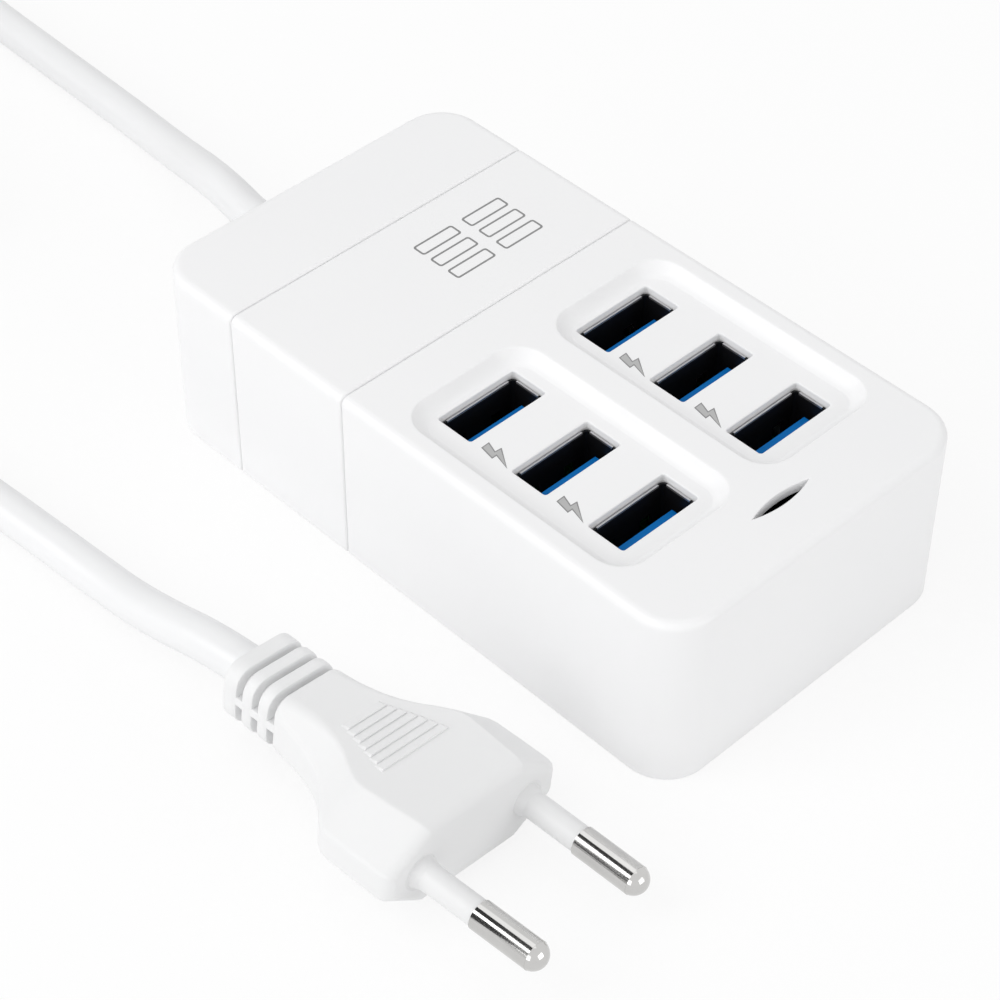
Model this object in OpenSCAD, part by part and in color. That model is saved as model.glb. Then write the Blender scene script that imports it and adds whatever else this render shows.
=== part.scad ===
// Six port USB charger with a fixed mains lead and a flat two pin plug.
// The origin is at the middle of the housing's underside, the lead leaves at +Y and the ports face up.

/* [Housing] */
// Width of the housing, side to side
body_w = 54; // [54:0.5:62]
// Length of the housing, front to rear
body_l = 97.5; // [95:0.5:116]
// Height of the housing
body_h = 28; // [27:0.5:34]
// Radius of the upright corners
corner_r = 6.5; // [5:0.25:8]
// Radius of the edge round the top
edge_r = 1.2; // [0.6:0.1:1.8]
// Thickness of the housing's walls and top
wall = 2; // [1.6:0.1:2.2]
// Length of the rear section, behind the band
rear_l = 16.2; // [15:0.2:22]
// Length of the front section, with the port bays
front_l = 59.3; // [58:0.2:64]
// Gap seen at the seam between two sections
seam_gap = 0.25; // [0.1:0.05:0.5]
// Thickness of the band's inner lip
lip_t = 1; // [0.8:0.1:1.4]
// Length that the lip reaches under each end section
lip_reach = 2.5; // [1.5:0.25:4]
// Thickness of the base cover
base_t = 2; // [1.6:0.1:2.6]
// Clearance between parts that slide together
fit = 0.1; // [0.05:0.05:0.2]

/* [Port bays] */
// Width of the top left beside a bay, at the housing's side
bay_side = 3.1; // [3:0.1:4]
// Length of a port bay at the top
bay_l = 39.8; // [38.5:0.2:41]
// Strip of the top left between the two bays
bay_gap = 4.2; // [4:0.2:5]
// Distance from the front face to the bays
bay_front = 12.1; // [11.5:0.2:13]
// Radius of a bay's corners at the top
bay_r = 4.5; // [3:0.25:6]
// Depth of a bay below the top
bay_depth = 1.8; // [1.2:0.1:2.4]
// Width of a bay's sloping wall, seen from above
bay_slope = 1.9; // [1:0.1:2.2]
// Thickness of a bay's floor
pan_t = 1.8; // [1.4:0.1:2.2]

/* [Ports] */
// Ports in each bay
port_rows = 3; // [1:1:3]
// Distance between two ports in a bay
port_pitch = 13.5; // [12.5:0.25:14]
// Width of a port's metal shell
shell_w = 13.1; // [13:0.05:13.3]
// Thickness of a port's metal shell, outside
shell_t = 5.7; // [5.6:0.05:5.9]
// Thickness of the shell's sheet metal
shell_sheet = 0.3; // [0.2:0.05:0.4]
// Length of a port's metal shell
shell_h = 13; // [11:0.5:14]
// Depth of the shell's mouth below the bay's floor
shell_sink = 1; // [0.5:0.1:1.3]
// Gap round a shell in its slot
slot_gap = 0.2; // [0.1:0.05:0.3]
// Width of the contact tongue
tongue_w = 11.1; // [10.8:0.1:11.4]
// Thickness of the contact tongue
tongue_t = 1.84; // [1.7:0.02:2]
// Gap between the tongue and the shell's front wall
tongue_gap = 0.9; // [0.6:0.05:1.1]
// Depth of the tongue's end below the shell's mouth
tongue_sink = 2.6; // [2:0.1:3.5]

/* [Indicator window] */
// Length of the pointed window
window_l = 10.4; // [8:0.2:12]
// Width of the pointed window
window_w = 1.7; // [1.4:0.1:2.4]
// Distance from the front face to the window's middle
window_front = 8.1; // [7:0.2:9]
// Thickness of the top round the window
window_t = 1; // [0.8:0.1:1.4]

/* [Boards] */
// Thickness of both circuit boards
board_t = 1.6; // [1:0.2:1.6]
// Height of the standoffs under the mains board
standoff_h = 2.4; // [2:0.2:3]
// Diameter of the screw posts
post_d = 6; // [5:0.5:6.5]
// Diameter of the housing screws
screw_d = 3; // [2.5:0.25:3.5]

/* [Lead and plug] */
// Diameter of the mains lead
cord_d = 6; // [5:0.25:6.5]
// Height of the lead's outlet above the underside
outlet_z = 14; // [12:0.5:16]
// Length of the strain relief outside the rear face
relief_out = 7.5; // [6:0.5:12]
// Length of the strain relief inside the rear face
relief_in = 12.5; // [10:0.5:14]
// Width of the plug's head
plug_w = 29.5; // [29:0.5:35.5]
// Thickness of the plug's head
plug_h = 12.5; // [12:0.5:14]
// Width of the flat on top of the plug's head, where it is widest
plug_flat = 18.5; // [14:0.5:19]
// Length of the plug's body, front face to cord
plug_l = 38; // [36:0.5:42]
// Width of the plug's ribbed neck
neck_w = 11.5; // [11:0.1:14]
// Thickness of the plug's ribbed neck
neck_h = 9; // [8.5:0.1:11]
// Diameter of the plug's pins
pin_d = 4; // [3.9:0.05:4.1]
// Length of a pin outside the plug
pin_l = 19.5; // [18:0.25:20]
// Length of a pin's insulating sleeve outside the plug
sleeve_l = 9.25; // [9:0.25:11]
// Diameter of a pin's insulating sleeve
sleeve_d = 3.65; // [3.5:0.05:3.65]
// Distance between the pins at the plug's face
pin_gap = 18.2; // [17.5:0.1:19]
// Angle that each pin leans inwards
pin_lean = 0.8; // [0:0.1:1.6]

/* [Hidden] */
PORTS = 6;
$fn = 48;
eps = 0.01;

// Places that follow from the sizes above
cord_r = cord_d / 2;
front_y = -body_l / 2;
rear_y = body_l / 2;
band_l = body_l - front_l - rear_l;
band_y1 = rear_y - rear_l;
band_y0 = band_y1 - band_l;
inner_w = body_w - 2 * wall;
bay_w = (body_w - bay_gap - 2 * bay_side) / 2;
bay_x = (bay_gap + bay_w) / 2;
bay_y = front_y + bay_front + bay_l / 2;
bay_floor = body_h - bay_depth;
port_x = bay_x - 0.5;
port_y = bay_y + 0.8;
shell_top = bay_floor - shell_sink;
board2_top = shell_top - shell_h;
board2_z = board2_top - board_t;
board1_z = base_t + standoff_h;
board1_top = board1_z + board_t;
slot_w = shell_w + 2 * slot_gap;
slot_t = shell_t + 2 * slot_gap;
tongue_top = shell_top - tongue_sink;
window_y = front_y + window_front;

// Screw posts stand in the four corners, clear of the boards
post_r = post_d / 2;
post_x = inner_w / 2 - post_r - 0.5;
post_y0 = front_y + wall + post_r + 1.2;
post_y1 = rear_y - wall - post_r - 2.6;
bore_r = screw_d / 2 + fit / 2;
screw_reach = 8;
head_h = 0.9;
head_r = screw_d * 0.95;
head_sink = 0.2;

// Boards
board1_w = inner_w - 2 * (lip_t + fit) - 2;
board1_y0 = post_y0 + post_r + 2.5;
board1_y1 = post_y1 - post_r - 1;
board2_w = 2 * (port_x + shell_w / 2) + 6;
board2_y0 = bay_y - bay_l / 2 - 1;
board2_y1 = bay_y + bay_l / 2 + 2;
tab_w = 16;
tab_y0 = window_y - 3;
board_screw_r = 1;
standoff_r = 2.5;
standoff_x = board1_w / 2 - 4;
standoff_y0 = board1_y0 + 4;
standoff_y1 = board1_y1 - 4;
hanger_r = 2;
hanger_y0 = board2_y0 + 3;
hanger_y1 = board2_y1 - 3;
header_y = board2_y1 - 2;
header_x = board2_w / 2 - 10.05;
header_pins = 6;

// Strain relief, and the lead's end inside
relief_neck = cord_r + 1.5;
relief_flange = cord_r + 3;
stub_l = 2;
stub_end = rear_y - relief_in - stub_l;
wire_r = 0.9;
wire_x = 1.4;
wire_foot_x = 13;
wire_foot_y = stub_end - 2.6;

// Power parts share the length between the port board and the wires at the lead's end
row_gap = 0.55;
power_y1 = stub_end - 5;
power_l = power_y1 - board2_y1;
small_can_d = power_l / 3;
small_can_h = 12;
small_row_y = board2_y1 + row_gap + small_can_d / 2;
trafo_x = 3;
trafo_w = 20;
trafo_d = power_l - small_can_d - 2 * row_gap;
trafo_h = 16;
trafo_y = power_y1 - trafo_d / 2;
can_side = 1.5;
beside_trafo = board1_w / 2 + trafo_x - trafo_w / 2;
big_can_d = min(trafo_d - 4, beside_trafo - can_side - 3.4);
big_can_h = 16;
bridge_l = trafo_d - 2;
bridge_h = 9;
disc_r = 4;
disc_t = 3;
chip_w = 4;
chip_l = 5;
chip_h = 1.5;
chip_in = 4;
screw_grip = 4;
trafo_leg = 4.6;
trafo_core_d = 5;

// Small metal parts
pin_size = 0.64;
led_lead = 1.27;
led_wire = 0.3;
led_h = 5;
tab_size = 1.6;
contact_w = 1;
contact_t = 0.25;

// Plug placing: its face, its turn, and the roll that its stiff lead gives it, resting on one lower edge
plug_x = -52.4;
plug_y = -41;
plug_turn = 2.7;
plug_roll = 8;
plug_z = plug_flat / 2 * sin(plug_roll) + plug_h / 2 * cos(plug_roll);
relief_l = 9.8;
slit = 1;
slit_pitch = 2.8;
shoulder_y = 11;
waist_y = 14.6;
throat_y = 18.6;

// The lead's own route, in two stretches, and its coil
coil_x = -54;
coil_y = 136;
coil_mid = 30;
coil_layers = 2;
coil_turns = 3;
coil_out = coil_mid + coil_turns * cord_r;
coil_in = coil_mid - coil_turns * cord_r;
coil_end = coil_out - cord_r;
upper_route = [
    [0, rear_y + relief_out, outlet_z],
    [0, rear_y + relief_out + 5, outlet_z],
    [0.8, 68, outlet_z - 0.6], [2.6, 75, outlet_z - 2.4], [5, 82, 8.8], [7.2, 89, 6], [9, 96, 4],
    [10.2, 103, cord_r + 0.1], [11, 112, cord_r], [11.8, 124, cord_r], [12.6, 136, cord_r],
    [13.3, 147, cord_r], [12.4, 153.5, cord_r], [10, 159.5, cord_r], [6, 164.7, cord_r],
    [0.8, 168.6, cord_r], [-5.2, 171.1, cord_r], [-12, coil_y + coil_end, cord_r],
    [-26, coil_y + coil_end, cord_r], [-40, coil_y + coil_end, cord_r], [coil_x, coil_y + coil_end, cord_r]];
plug_tail = [plug_x - sin(plug_turn) * plug_l, plug_y + cos(plug_turn) * plug_l, plug_z];
plug_way = [-sin(plug_turn), cos(plug_turn), 0];
lower_route = [
    [coil_x - coil_end, coil_y, 3 * cord_r],
    [coil_x - coil_end, 125, 3 * cord_r],
    [coil_x - coil_end, 113, 3 * cord_r],
    [-89, 106, 8.4], [-86.4, 99, 7.1], [-82.2, 92.6, 5.7], [-77, 87, 4.4], [-71.6, 81.6, 3.5],
    [-66.8, 76, cord_r + 0.1], [-62.6, 69.6, cord_r], [-59.8, 62.6, cord_r], [-58.5, 55, cord_r],
    [-57.8, 47, cord_r], [-57.1, 38, cord_r], [-56.4, 28, 3.4], [-55.8, 20, 4.6], [-55.1, 13, 6],
    plug_tail + 8 * plug_way,
    plug_tail];

// Position of a port: column 0 is the left bay, row 0 the one nearest the band
function port_at(i) = [
    (i < port_rows ? -1 : 1) * port_x,
    port_y + ((port_rows - 1) / 2 - (i % port_rows)) * port_pitch];

// Plain shapes
module rounded_rect(w, l, r) {
    square([w - 2 * r, l], center = true);
    square([w, l - 2 * r], center = true);
    for (sx = [-1, 1], sy = [-1, 1])
        translate([sx * (w / 2 - r), sy * (l / 2 - r)]) circle(r);
}

module prism(w, l, r, z0, z1) {
    translate([0, 0, z0]) linear_extrude(z1 - z0) rounded_rect(w, l, r);
}

module centred_box(w, l, h) {
    translate([-w / 2, -l / 2, 0]) cube([w, l, h]);
}

module slab(y0, y1, z0, z1) {
    translate([-body_w, y0, z0]) cube([2 * body_w, y1 - y0, z1 - z0]);
}

module rod(r, h) {
    cylinder(r = r, h = h);
}

// Half outline of a flat top with a rounded edge: half width a, height h
module edge_profile(a, h, e) {
    translate([0, 0]) square([a, h - e]);
    translate([0, h - e - eps]) square([a - e, e + eps]);
    translate([a - e, h - e]) intersection() {
        circle(e);
        square(e);
    }
}

module full_profile(a, h, e) {
    edge_profile(a, h, e);
    mirror([1, 0]) edge_profile(a, h, e);
}

// The housing's outer form: two crossing bars and four turned corners
module outer_form() {
    a = body_w / 2;
    b = body_l / 2;
    r = corner_r;
    rotate([90, 0, 90]) translate([0, 0, -(a - r)]) linear_extrude(2 * (a - r)) full_profile(b, body_h, edge_r);
    rotate([90, 0, 0]) translate([0, 0, -(b - r)]) linear_extrude(2 * (b - r)) full_profile(a, body_h, edge_r);
    for (k = [0:3]) {
        sx = (k == 0 || k == 3) ? 1 : -1;
        sy = (k < 2) ? 1 : -1;
        translate([sx * (a - r), sy * (b - r), 0]) rotate([0, 0, 90 * k])
            rotate_extrude(angle = 90) edge_profile(r, body_h, edge_r);
    }
}

module cavity(inset, z0) {
    prism(body_w - 2 * inset, body_l - 2 * inset, corner_r - inset, z0, body_h - inset);
}

module section(y0, y1) {
    difference() {
        intersection() {
            outer_form();
            slab(y0, y1, -1, body_h + 1);
        }
        cavity(wall, -1);
    }
}

module post(x, y, top) {
    translate([x, y, base_t]) rod(post_r, top - base_t);
}

module post_bore(x, y) {
    translate([x, y, base_t]) rod(bore_r, screw_reach + 2);
}

// One bay, cut with sloping walls
module bay_cut() {
    hull() {
        prism(bay_w, bay_l, bay_r, body_h - 0.2, body_h + 1);
        prism(bay_w - 2 * bay_slope, bay_l - 2 * bay_slope, bay_r - bay_slope / 2, bay_floor, bay_floor + 0.2);
    }
}

module window_shape(l, w) {
    r = (l * l + w * w) / (4 * w);
    intersection() {
        translate([0, r - w / 2]) circle(r, $fn = 96);
        translate([0, w / 2 - r]) circle(r, $fn = 96);
    }
}

module front_housing() {
    pan_w = 2 * bay_x + bay_w - 2 * bay_slope + 2;
    pan_l = bay_l - 2 * bay_slope + 3;
    pan_z = bay_floor - pan_t;
    color("white") difference() {
        union() {
            section(front_y - 1, band_y0 - seam_gap / 2);
            translate([0, bay_y, pan_z]) centred_box(pan_w, pan_l, body_h - wall - pan_z + eps);
            for (sx = [-1, 1]) post(sx * post_x, post_y0, body_h - wall + eps);
            for (y = [hanger_y0, hanger_y1])
                translate([0, y, board2_top]) rod(hanger_r, body_h - wall - board2_top + eps);
        }
        for (sx = [-1, 1]) translate([sx * bay_x, bay_y, 0]) bay_cut();
        for (i = [0:PORTS - 1]) translate([port_at(i)[0], port_at(i)[1], pan_z - 1])
            centred_box(slot_w, slot_t, pan_t + 2);
        translate([0, window_y, body_h - wall - 1]) linear_extrude(wall + 2) window_shape(window_l, window_w);
        translate([0, window_y, body_h - wall - 1]) linear_extrude(wall + 1 - window_t)
            window_shape(window_l + 4, window_w + 3);
        for (sx = [-1, 1]) post_bore(sx * post_x, post_y0);
        for (y = [hanger_y0, hanger_y1]) translate([0, y, board2_top - 1]) rod(board_screw_r + fit / 2, 2 * screw_grip);
    }
}

module centre_band() {
    y0 = band_y0 + seam_gap / 2;
    y1 = band_y1 - seam_gap / 2;
    z0 = base_t;
    lip_in = wall + fit;
    color("white") union() {
        section(y0, y1);
        difference() {
            union() {
                intersection() {
                    cavity(wall - fit, z0);
                    slab(y0, y1, z0, body_h);
                }
                intersection() {
                    cavity(lip_in, z0);
                    slab(band_y0 - lip_reach, band_y1 + lip_reach, z0, body_h);
                }
            }
            cavity(lip_in + lip_t, -1);
        }
    }
}

module rear_housing() {
    color("white") difference() {
        union() {
            section(band_y1 + seam_gap / 2, rear_y + 1);
            for (sx = [-1, 1]) post(sx * post_x, post_y1, body_h - wall + eps);
        }
        for (sx = [-1, 1]) post_bore(sx * post_x, post_y1);
        translate([0, rear_y + 1, outlet_z]) rotate([90, 0, 0]) rod(relief_neck + fit, wall + 3);
    }
}

// Base cover with sunk screw holes and the mains board's standoffs
module base_cover() {
    gap = wall + 1.5 * fit;
    seat = head_sink + head_h;
    color("white") difference() {
        union() {
            prism(body_w - 2 * gap, body_l - 2 * gap, corner_r - gap, 0, base_t);
            for (sx = [-1, 1], y = [standoff_y0, standoff_y1])
                translate([sx * standoff_x, y, base_t - eps]) rod(standoff_r, standoff_h + eps);
        }
        for (sx = [-1, 1], y = [post_y0, post_y1]) translate([sx * post_x, y, -1]) {
            rod(screw_d / 2 + 2 * fit, base_t + 2);
            rod(head_r + fit, 1 + seat);
        }
        for (sx = [-1, 1], y = [standoff_y0, standoff_y1])
            translate([sx * standoff_x, y, base_t - 1]) rod(board_screw_r + fit / 2, standoff_h + 2);
    }
}

module base_screws() {
    color("silver") for (sx = [-1, 1], y = [post_y0, post_y1]) translate([sx * post_x, y, head_sink])
        difference() {
            union() {
                rod(head_r, head_h);
                rod(screw_d / 2, base_t + screw_reach - head_sink);
            }
            for (a = [0, 90]) rotate([0, 0, a]) translate([0, 0, -1]) centred_box(head_r * 1.1, 0.7, 1.6);
        }
}

// Strain relief: a snap-in boot with a groove for the rear wall and a ringed tail
module strain_relief() {
    seat = wall + 2 * fit;
    tip_r = cord_r + 0.8;
    rings = 2;
    color("white") translate([0, rear_y, outlet_z]) rotate([-90, 0, 0]) difference() {
        union() {
            translate([0, 0, -relief_in]) rod(cord_r + 1.2, relief_in);
            translate([0, 0, -seat - 2]) rod(relief_flange, 2);
            translate([0, 0, -seat - eps]) rod(relief_neck, seat + 1);
            rod(relief_flange - 0.4, 1.3);
            translate([0, 0, 1.2]) cylinder(r1 = cord_r + 1.8, r2 = tip_r, h = relief_out - 1.2);
        }
        for (k = [1:rings]) translate([0, 0, 1.3 + k * (relief_out - 1.3) / (rings + 1) - 0.4]) difference() {
            rod(relief_flange + 1, 0.8);
            translate([0, 0, -1]) rod(cord_r + 0.5, 3);
            for (a = [0, 90]) rotate([0, 0, a + 45 * k]) translate([0, 0, -1]) centred_box(3 * relief_flange, 1.2, 3);
        }
    }
}

// A round tube swept along points, with square ends
function unit(v) = v / norm(v);
function way(p, i) = unit(p[min(i + 1, len(p) - 1)] - p[max(i - 1, 0)]);
function tube_ring(p, i, r, n) =
    let (t = way(p, i), s = unit(cross(t, abs(t[2]) > 0.9 ? [1, 0, 0] : [0, 0, 1])), u = cross(s, t))
    [for (k = [0:n - 1]) let (a = 360 * (k + 0.5) / n) p[i] + r * (cos(a) * s + sin(a) * u)];

module swept_tube(p, r, n) {
    m = len(p);
    points = [for (i = [0:m - 1]) each tube_ring(p, i, r, n)];
    sides = [for (i = [0:m - 2], k = [0:n - 1]) let (a = i * n + k, b = i * n + (k + 1) % n)
        each [[a, b, b + n], [a, b + n, a + n]]];
    start = [for (k = [n - 1:-1:0]) k];
    finish = [for (k = [0:n - 1]) (m - 1) * n + k];
    polyhedron(points = points, faces = concat([start], sides, [finish]), convexity = 6);
}

// The end of the lead's jacket inside the housing, and its two wires
module cord_stub() {
    color("white") translate([0, rear_y - relief_in, outlet_z]) rotate([90, 0, 0]) rod(cord_r, stub_l);
}

module wire(side) {
    span = wire_foot_x - wire_x;
    swept_tube([
        [side * wire_x, stub_end, outlet_z],
        [side * wire_x, stub_end - 0.9, outlet_z],
        [side * (wire_x + 0.08 * span), stub_end - 1.8, outlet_z - 0.2],
        [side * (wire_x + 0.25 * span), wire_foot_y, outlet_z - 0.8],
        [side * (wire_x + 0.55 * span), wire_foot_y - 0.3, outlet_z - 2],
        [side * (wire_x + 0.85 * span), wire_foot_y, board1_top + 4.6],
        [side * wire_foot_x, wire_foot_y, board1_top + 2.4],
        [side * wire_foot_x, wire_foot_y, board1_top]], wire_r, 8);
}

module wire_live() {
    color("brown") wire(1);
}

module wire_neutral() {
    color("royalblue") wire(-1);
}

module board_hole(x, y, r) {
    translate([x, y, -1]) rod(r, board_t + 2);
}

module main_board() {
    color("seagreen") translate([0, 0, board1_z]) difference() {
        translate([0, (board1_y0 + board1_y1) / 2, 0]) centred_box(board1_w, board1_y1 - board1_y0, board_t);
        for (sx = [-1, 1], y = [standoff_y0, standoff_y1]) board_hole(sx * standoff_x, y, board_screw_r + fit);
        translate([trafo_x, trafo_y - trafo_d / 2 - 1.5, -1]) centred_box(trafo_w / 2, 1.2, board_t + 2);
    }
}

module pan_screw(shank) {
    rod(board_screw_r, shank + 0.5);
    translate([0, 0, shank]) intersection() {
        rod(2, 1.2);
        translate([0, 0, -1.1]) sphere(2.3);
    }
}

module board_screws() {
    color("silver") for (sx = [-1, 1], y = [standoff_y0, standoff_y1])
        translate([sx * standoff_x, y, board1_top - board_t - standoff_h + 0.4])
            pan_screw(board_t + standoff_h - 0.4);
}

module port_board() {
    color("seagreen") translate([0, 0, board2_z]) difference() {
        union() {
            translate([0, (board2_y0 + board2_y1) / 2, 0]) centred_box(board2_w, board2_y1 - board2_y0, board_t);
            translate([-tab_w / 2, tab_y0, 0]) cube([tab_w, board2_y0 - tab_y0 + eps, board_t]);
        }
        for (y = [hanger_y0, hanger_y1]) board_hole(0, y, board_screw_r + fit);
        for (i = [0:PORTS - 1]) translate([port_at(i)[0], port_at(i)[1], 0]) for (sx = [-1, 1])
            translate([sx * (shell_w - shell_sheet) / 2, 0, -1]) centred_box(shell_sheet + 0.3, tab_size + 0.3, board_t + 2);
        for (k = [0:header_pins - 1]) translate([pin_x(k), header_y, -1])
            centred_box(pin_size + 0.2, pin_size + 0.2, board_t + 2);
        for (sx = [-1, 1]) translate([sx * led_lead, window_y, -1]) rod(led_wire + fit, board_t + 2);
    }
}

module port_board_screws() {
    color("silver") for (y = [hanger_y0, hanger_y1]) translate([0, y, board2_top + screw_grip])
        mirror([0, 0, 1]) pan_screw(board_t + screw_grip);
}

// Link between the two boards: a strip of square pins in a plain block
function pin_x(k) = header_x - (header_pins - 1) * 1.27 + k * 2.54;
module link_header() {
    block_l = header_pins * 2.54;
    block_h = board2_z - board1_top;
    color("black") difference() {
        translate([header_x, header_y, board1_top]) centred_box(block_l, 2.5, block_h);
        for (k = [0:header_pins - 1]) translate([pin_x(k), header_y, board1_top - 1])
            centred_box(pin_size + fit, pin_size + fit, block_h + 2);
    }
}

module link_pins() {
    color("gold") for (k = [0:header_pins - 1]) translate([pin_x(k), header_y, board1_top])
        centred_box(pin_size, pin_size, board2_top + 0.8 - board1_top);
}

// Indicator under the pointed window, on two leads that stop on the board
module indicator_led() {
    stand = 4;
    tail = board_t + 0.6;
    color("lightblue") translate([0, window_y, board2_top]) {
        translate([0, 0, stand]) {
            rod(1.9, 1);
            rod(1.5, led_h - 1.5);
            translate([0, 0, led_h - 1.5]) intersection() {
                sphere(1.5);
                rod(2, 2);
            }
        }
        for (sx = [-1, 1]) translate([sx * led_lead, 0, 0]) {
            translate([0, 0, -tail]) rod(led_wire, tail + stand + eps);
            rod(2 * led_wire, 1);
        }
    }
}

// Port pieces, each made for one port
module usb_shell(i) {
    inner_sw = shell_w - 2 * shell_sheet;
    inner_st = shell_t - 2 * shell_sheet;
    win_w = 2;
    color("silver") translate([port_at(i)[0], port_at(i)[1], board2_top]) {
        difference() {
            prism(shell_w, shell_t, 0.8, 0, shell_h);
            prism(inner_sw, inner_st, 0.5, -1, shell_h + 1);
            for (sx = [-1, 1]) translate([sx * shell_w / 4, 0, shell_h - 8])
                centred_box(win_w, shell_t + 2, 4);
        }
        for (sx = [-1, 1]) translate([sx * (shell_w - shell_sheet) / 2, 0, -board_t - 0.7])
            centred_box(shell_sheet, tab_size, board_t + 0.7 + 1);
    }
}

function contact_x(k) = (k - 1.5) * 2.3;
function tongue_y() = -shell_t / 2 + shell_sheet + tongue_gap + tongue_t / 2;

// Insulator: a foot that fills the shell and the thin tongue that carries the contacts
module usb_tongue(i) {
    foot_h = 2;
    foot_w = shell_w - 2 * shell_sheet - 2 * fit;
    foot_t = shell_t - 2 * shell_sheet - 2 * fit;
    back = tongue_y() + tongue_t / 2;
    color("dodgerblue") translate([port_at(i)[0], port_at(i)[1], board2_top]) difference() {
        union() {
            prism(foot_w, foot_t, 0.4, 0, foot_h);
            translate([0, tongue_y(), foot_h - eps]) centred_box(tongue_w, tongue_t, tongue_top - board2_top - foot_h + eps);
        }
        for (k = [0:3]) translate([contact_x(k), back + contact_t / 2 + eps, -1])
            centred_box(contact_w + fit, contact_t + 2 * eps, foot_h + 1 + eps);
    }
}

module usb_contacts(i) {
    back = tongue_y() + tongue_t / 2;
    color("gold") translate([port_at(i)[0], port_at(i)[1], board2_top]) for (k = [0:3])
        translate([contact_x(k), back + contact_t / 2, 0])
            centred_box(contact_w, contact_t, tongue_top - board2_top - 0.5);
}

// Mains transformer: a double window core round a wound bobbin that stands on six pins
core_lift = 1.5;
core_h = trafo_h - core_lift;
core_window = core_h - trafo_leg;
module transformer_core() {
    side_w = (trafo_w - 2 * trafo_leg) / 2;
    color("dimgray") translate([trafo_x, trafo_y, board1_top + core_lift]) difference() {
        centred_box(trafo_w, trafo_core_d, core_h);
        for (sx = [-1, 1]) translate([sx * (trafo_leg + side_w) / 2, 0, trafo_leg / 2])
            centred_box(side_w, trafo_core_d + 2, core_window);
    }
}

module transformer_winding() {
    lift = core_lift + trafo_leg / 2;
    clear = 1.5 * fit;
    reach = trafo_w / 2 - trafo_leg / 2 - clear;
    flange = 1;
    color("goldenrod") translate([trafo_x, trafo_y, board1_top + lift]) difference() {
        union() {
            for (z = [0, core_window - clear - flange]) translate([0, 0, z])
                centred_box(2 * reach, trafo_d, flange);
            prism(2 * reach - 1, trafo_d - 1.5, 3, 0, core_window - clear);
            for (sy = [-1, 1], sx = [-1, 0, 1]) translate([sx * 5, sy * (trafo_d / 2 - 0.8), -lift])
                rod(0.4, lift + flange);
        }
        translate([0, 0, -1]) centred_box(trafo_leg + 2 * clear, trafo_core_d + 2 * clear, core_window + 2);
    }
}

// A can with a rolled groove near its foot
module can(d, h) {
    rotate_extrude() difference() {
        square([d / 2, h]);
        translate([d / 2 + 0.35, 1.6]) circle(0.7, $fn = 24);
        translate([d / 2 - 0.5, h - 0.3]) square([1, 1]);
    }
}

module input_capacitor() {
    color("midnightblue") translate([-board1_w / 2 + can_side + big_can_d / 2, trafo_y + 1, board1_top])
        can(big_can_d, big_can_h);
}

module output_capacitors() {
    color("midnightblue") for (k = [0, 1])
        translate([-board1_w / 2 + can_side + small_can_d / 2 + (small_can_d + 2) * k, small_row_y, board1_top])
            can(small_can_d, small_can_h);
}

// A small glass fuse that lies on two leads under the lead's end
module fuse() {
    glass_r = 1.8;
    cap_r = 2.1;
    half = 5;
    lift = cap_r + 0.2;
    lead_r = 0.35;
    color("darkred") translate([0, stub_end - 0.2, board1_top + lift]) {
        rotate([0, 90, 0]) translate([0, 0, -half]) rod(glass_r, 2 * half);
        for (sx = [-1, 1]) rotate([0, sx * 90, 0]) {
            translate([0, 0, half - 2.2]) rod(cap_r, 2.2);
            rod(lead_r, half + 1.2);
        }
        for (sx = [-1, 1]) translate([sx * (half + 0.9), 0, -lift]) rod(lead_r, lift + lead_r);
    }
}

module bridge_rectifier() {
    lift = 2;
    color("black") translate([board1_w / 2 - 3.5, trafo_y, board1_top]) {
        difference() {
            translate([0, 0, lift]) centred_box(3.4, bridge_l, bridge_h);
            translate([0, -bridge_l / 2, lift + bridge_h]) rotate([45, 0, 0]) centred_box(5, 1.6, 1.6);
        }
        for (k = [0:3]) translate([0, (k - 1.5) * bridge_l / 4, 0]) centred_box(0.6, 0.9, lift + eps);
    }
}

module safety_capacitor() {
    color("steelblue") translate([2 * disc_r, small_row_y, board1_top]) {
        translate([0, disc_t / 2, disc_r + 2]) rotate([90, 0, 0]) rod(disc_r, disc_t);
        for (sx = [-1, 1]) translate([sx * 2.5, 0, 0]) rod(0.3, 3.2);
    }
}

module control_chips() {
    foot = chip_w / 2 + 0.4;
    color("black") for (p = [[board1_w / 2 - chip_in, small_row_y], [-bay_x, bay_y - 8], [bay_x, bay_y - 8]])
        translate([p[0], p[1], board1_top]) {
            translate([0, 0, 0.15]) centred_box(chip_w, chip_l, chip_h);
            for (sx = [-1, 1], k = [0:3]) translate([sx * foot, (k - 1.5) * chip_l / 4, 0]) {
                translate([-sx * 0.2, 0, 0.5]) centred_box(0.8, 0.4, 0.2);
                centred_box(0.4, 0.4, 0.7);
                translate([sx * 0.3, 0, 0]) centred_box(0.6, 0.4, 0.2);
            }
        }
}

module cord_from_housing() {
    color("white") swept_tube(upper_route, cord_r, 12);
}

module cord_to_plug() {
    color("white") swept_tube(lower_route, cord_r, 12);
}

// The wound lead as one closed ring, with a way in and a way out for its ends
tie_angle = -50;
tie_w = 7;
tie_t = 0.8;
module cord_coil() {
    high = coil_layers * cord_d;
    color("white") translate([coil_x, coil_y, 0]) difference() {
        rotate_extrude($fn = 96) translate([coil_in, 0]) square([coil_out - coil_in, high]);
        translate([0, coil_end - cord_r - fit, -1]) cube([coil_out, cord_d + 2, cord_d + 1 + fit]);
        translate([-coil_out - 1, -coil_out, high - cord_d - fit])
            cube([cord_d + 1 + fit, coil_out, cord_d + 1]);
        rotate([0, 0, tie_angle]) tie_groove(tie_w + 2 * fit);
    }
}

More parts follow.
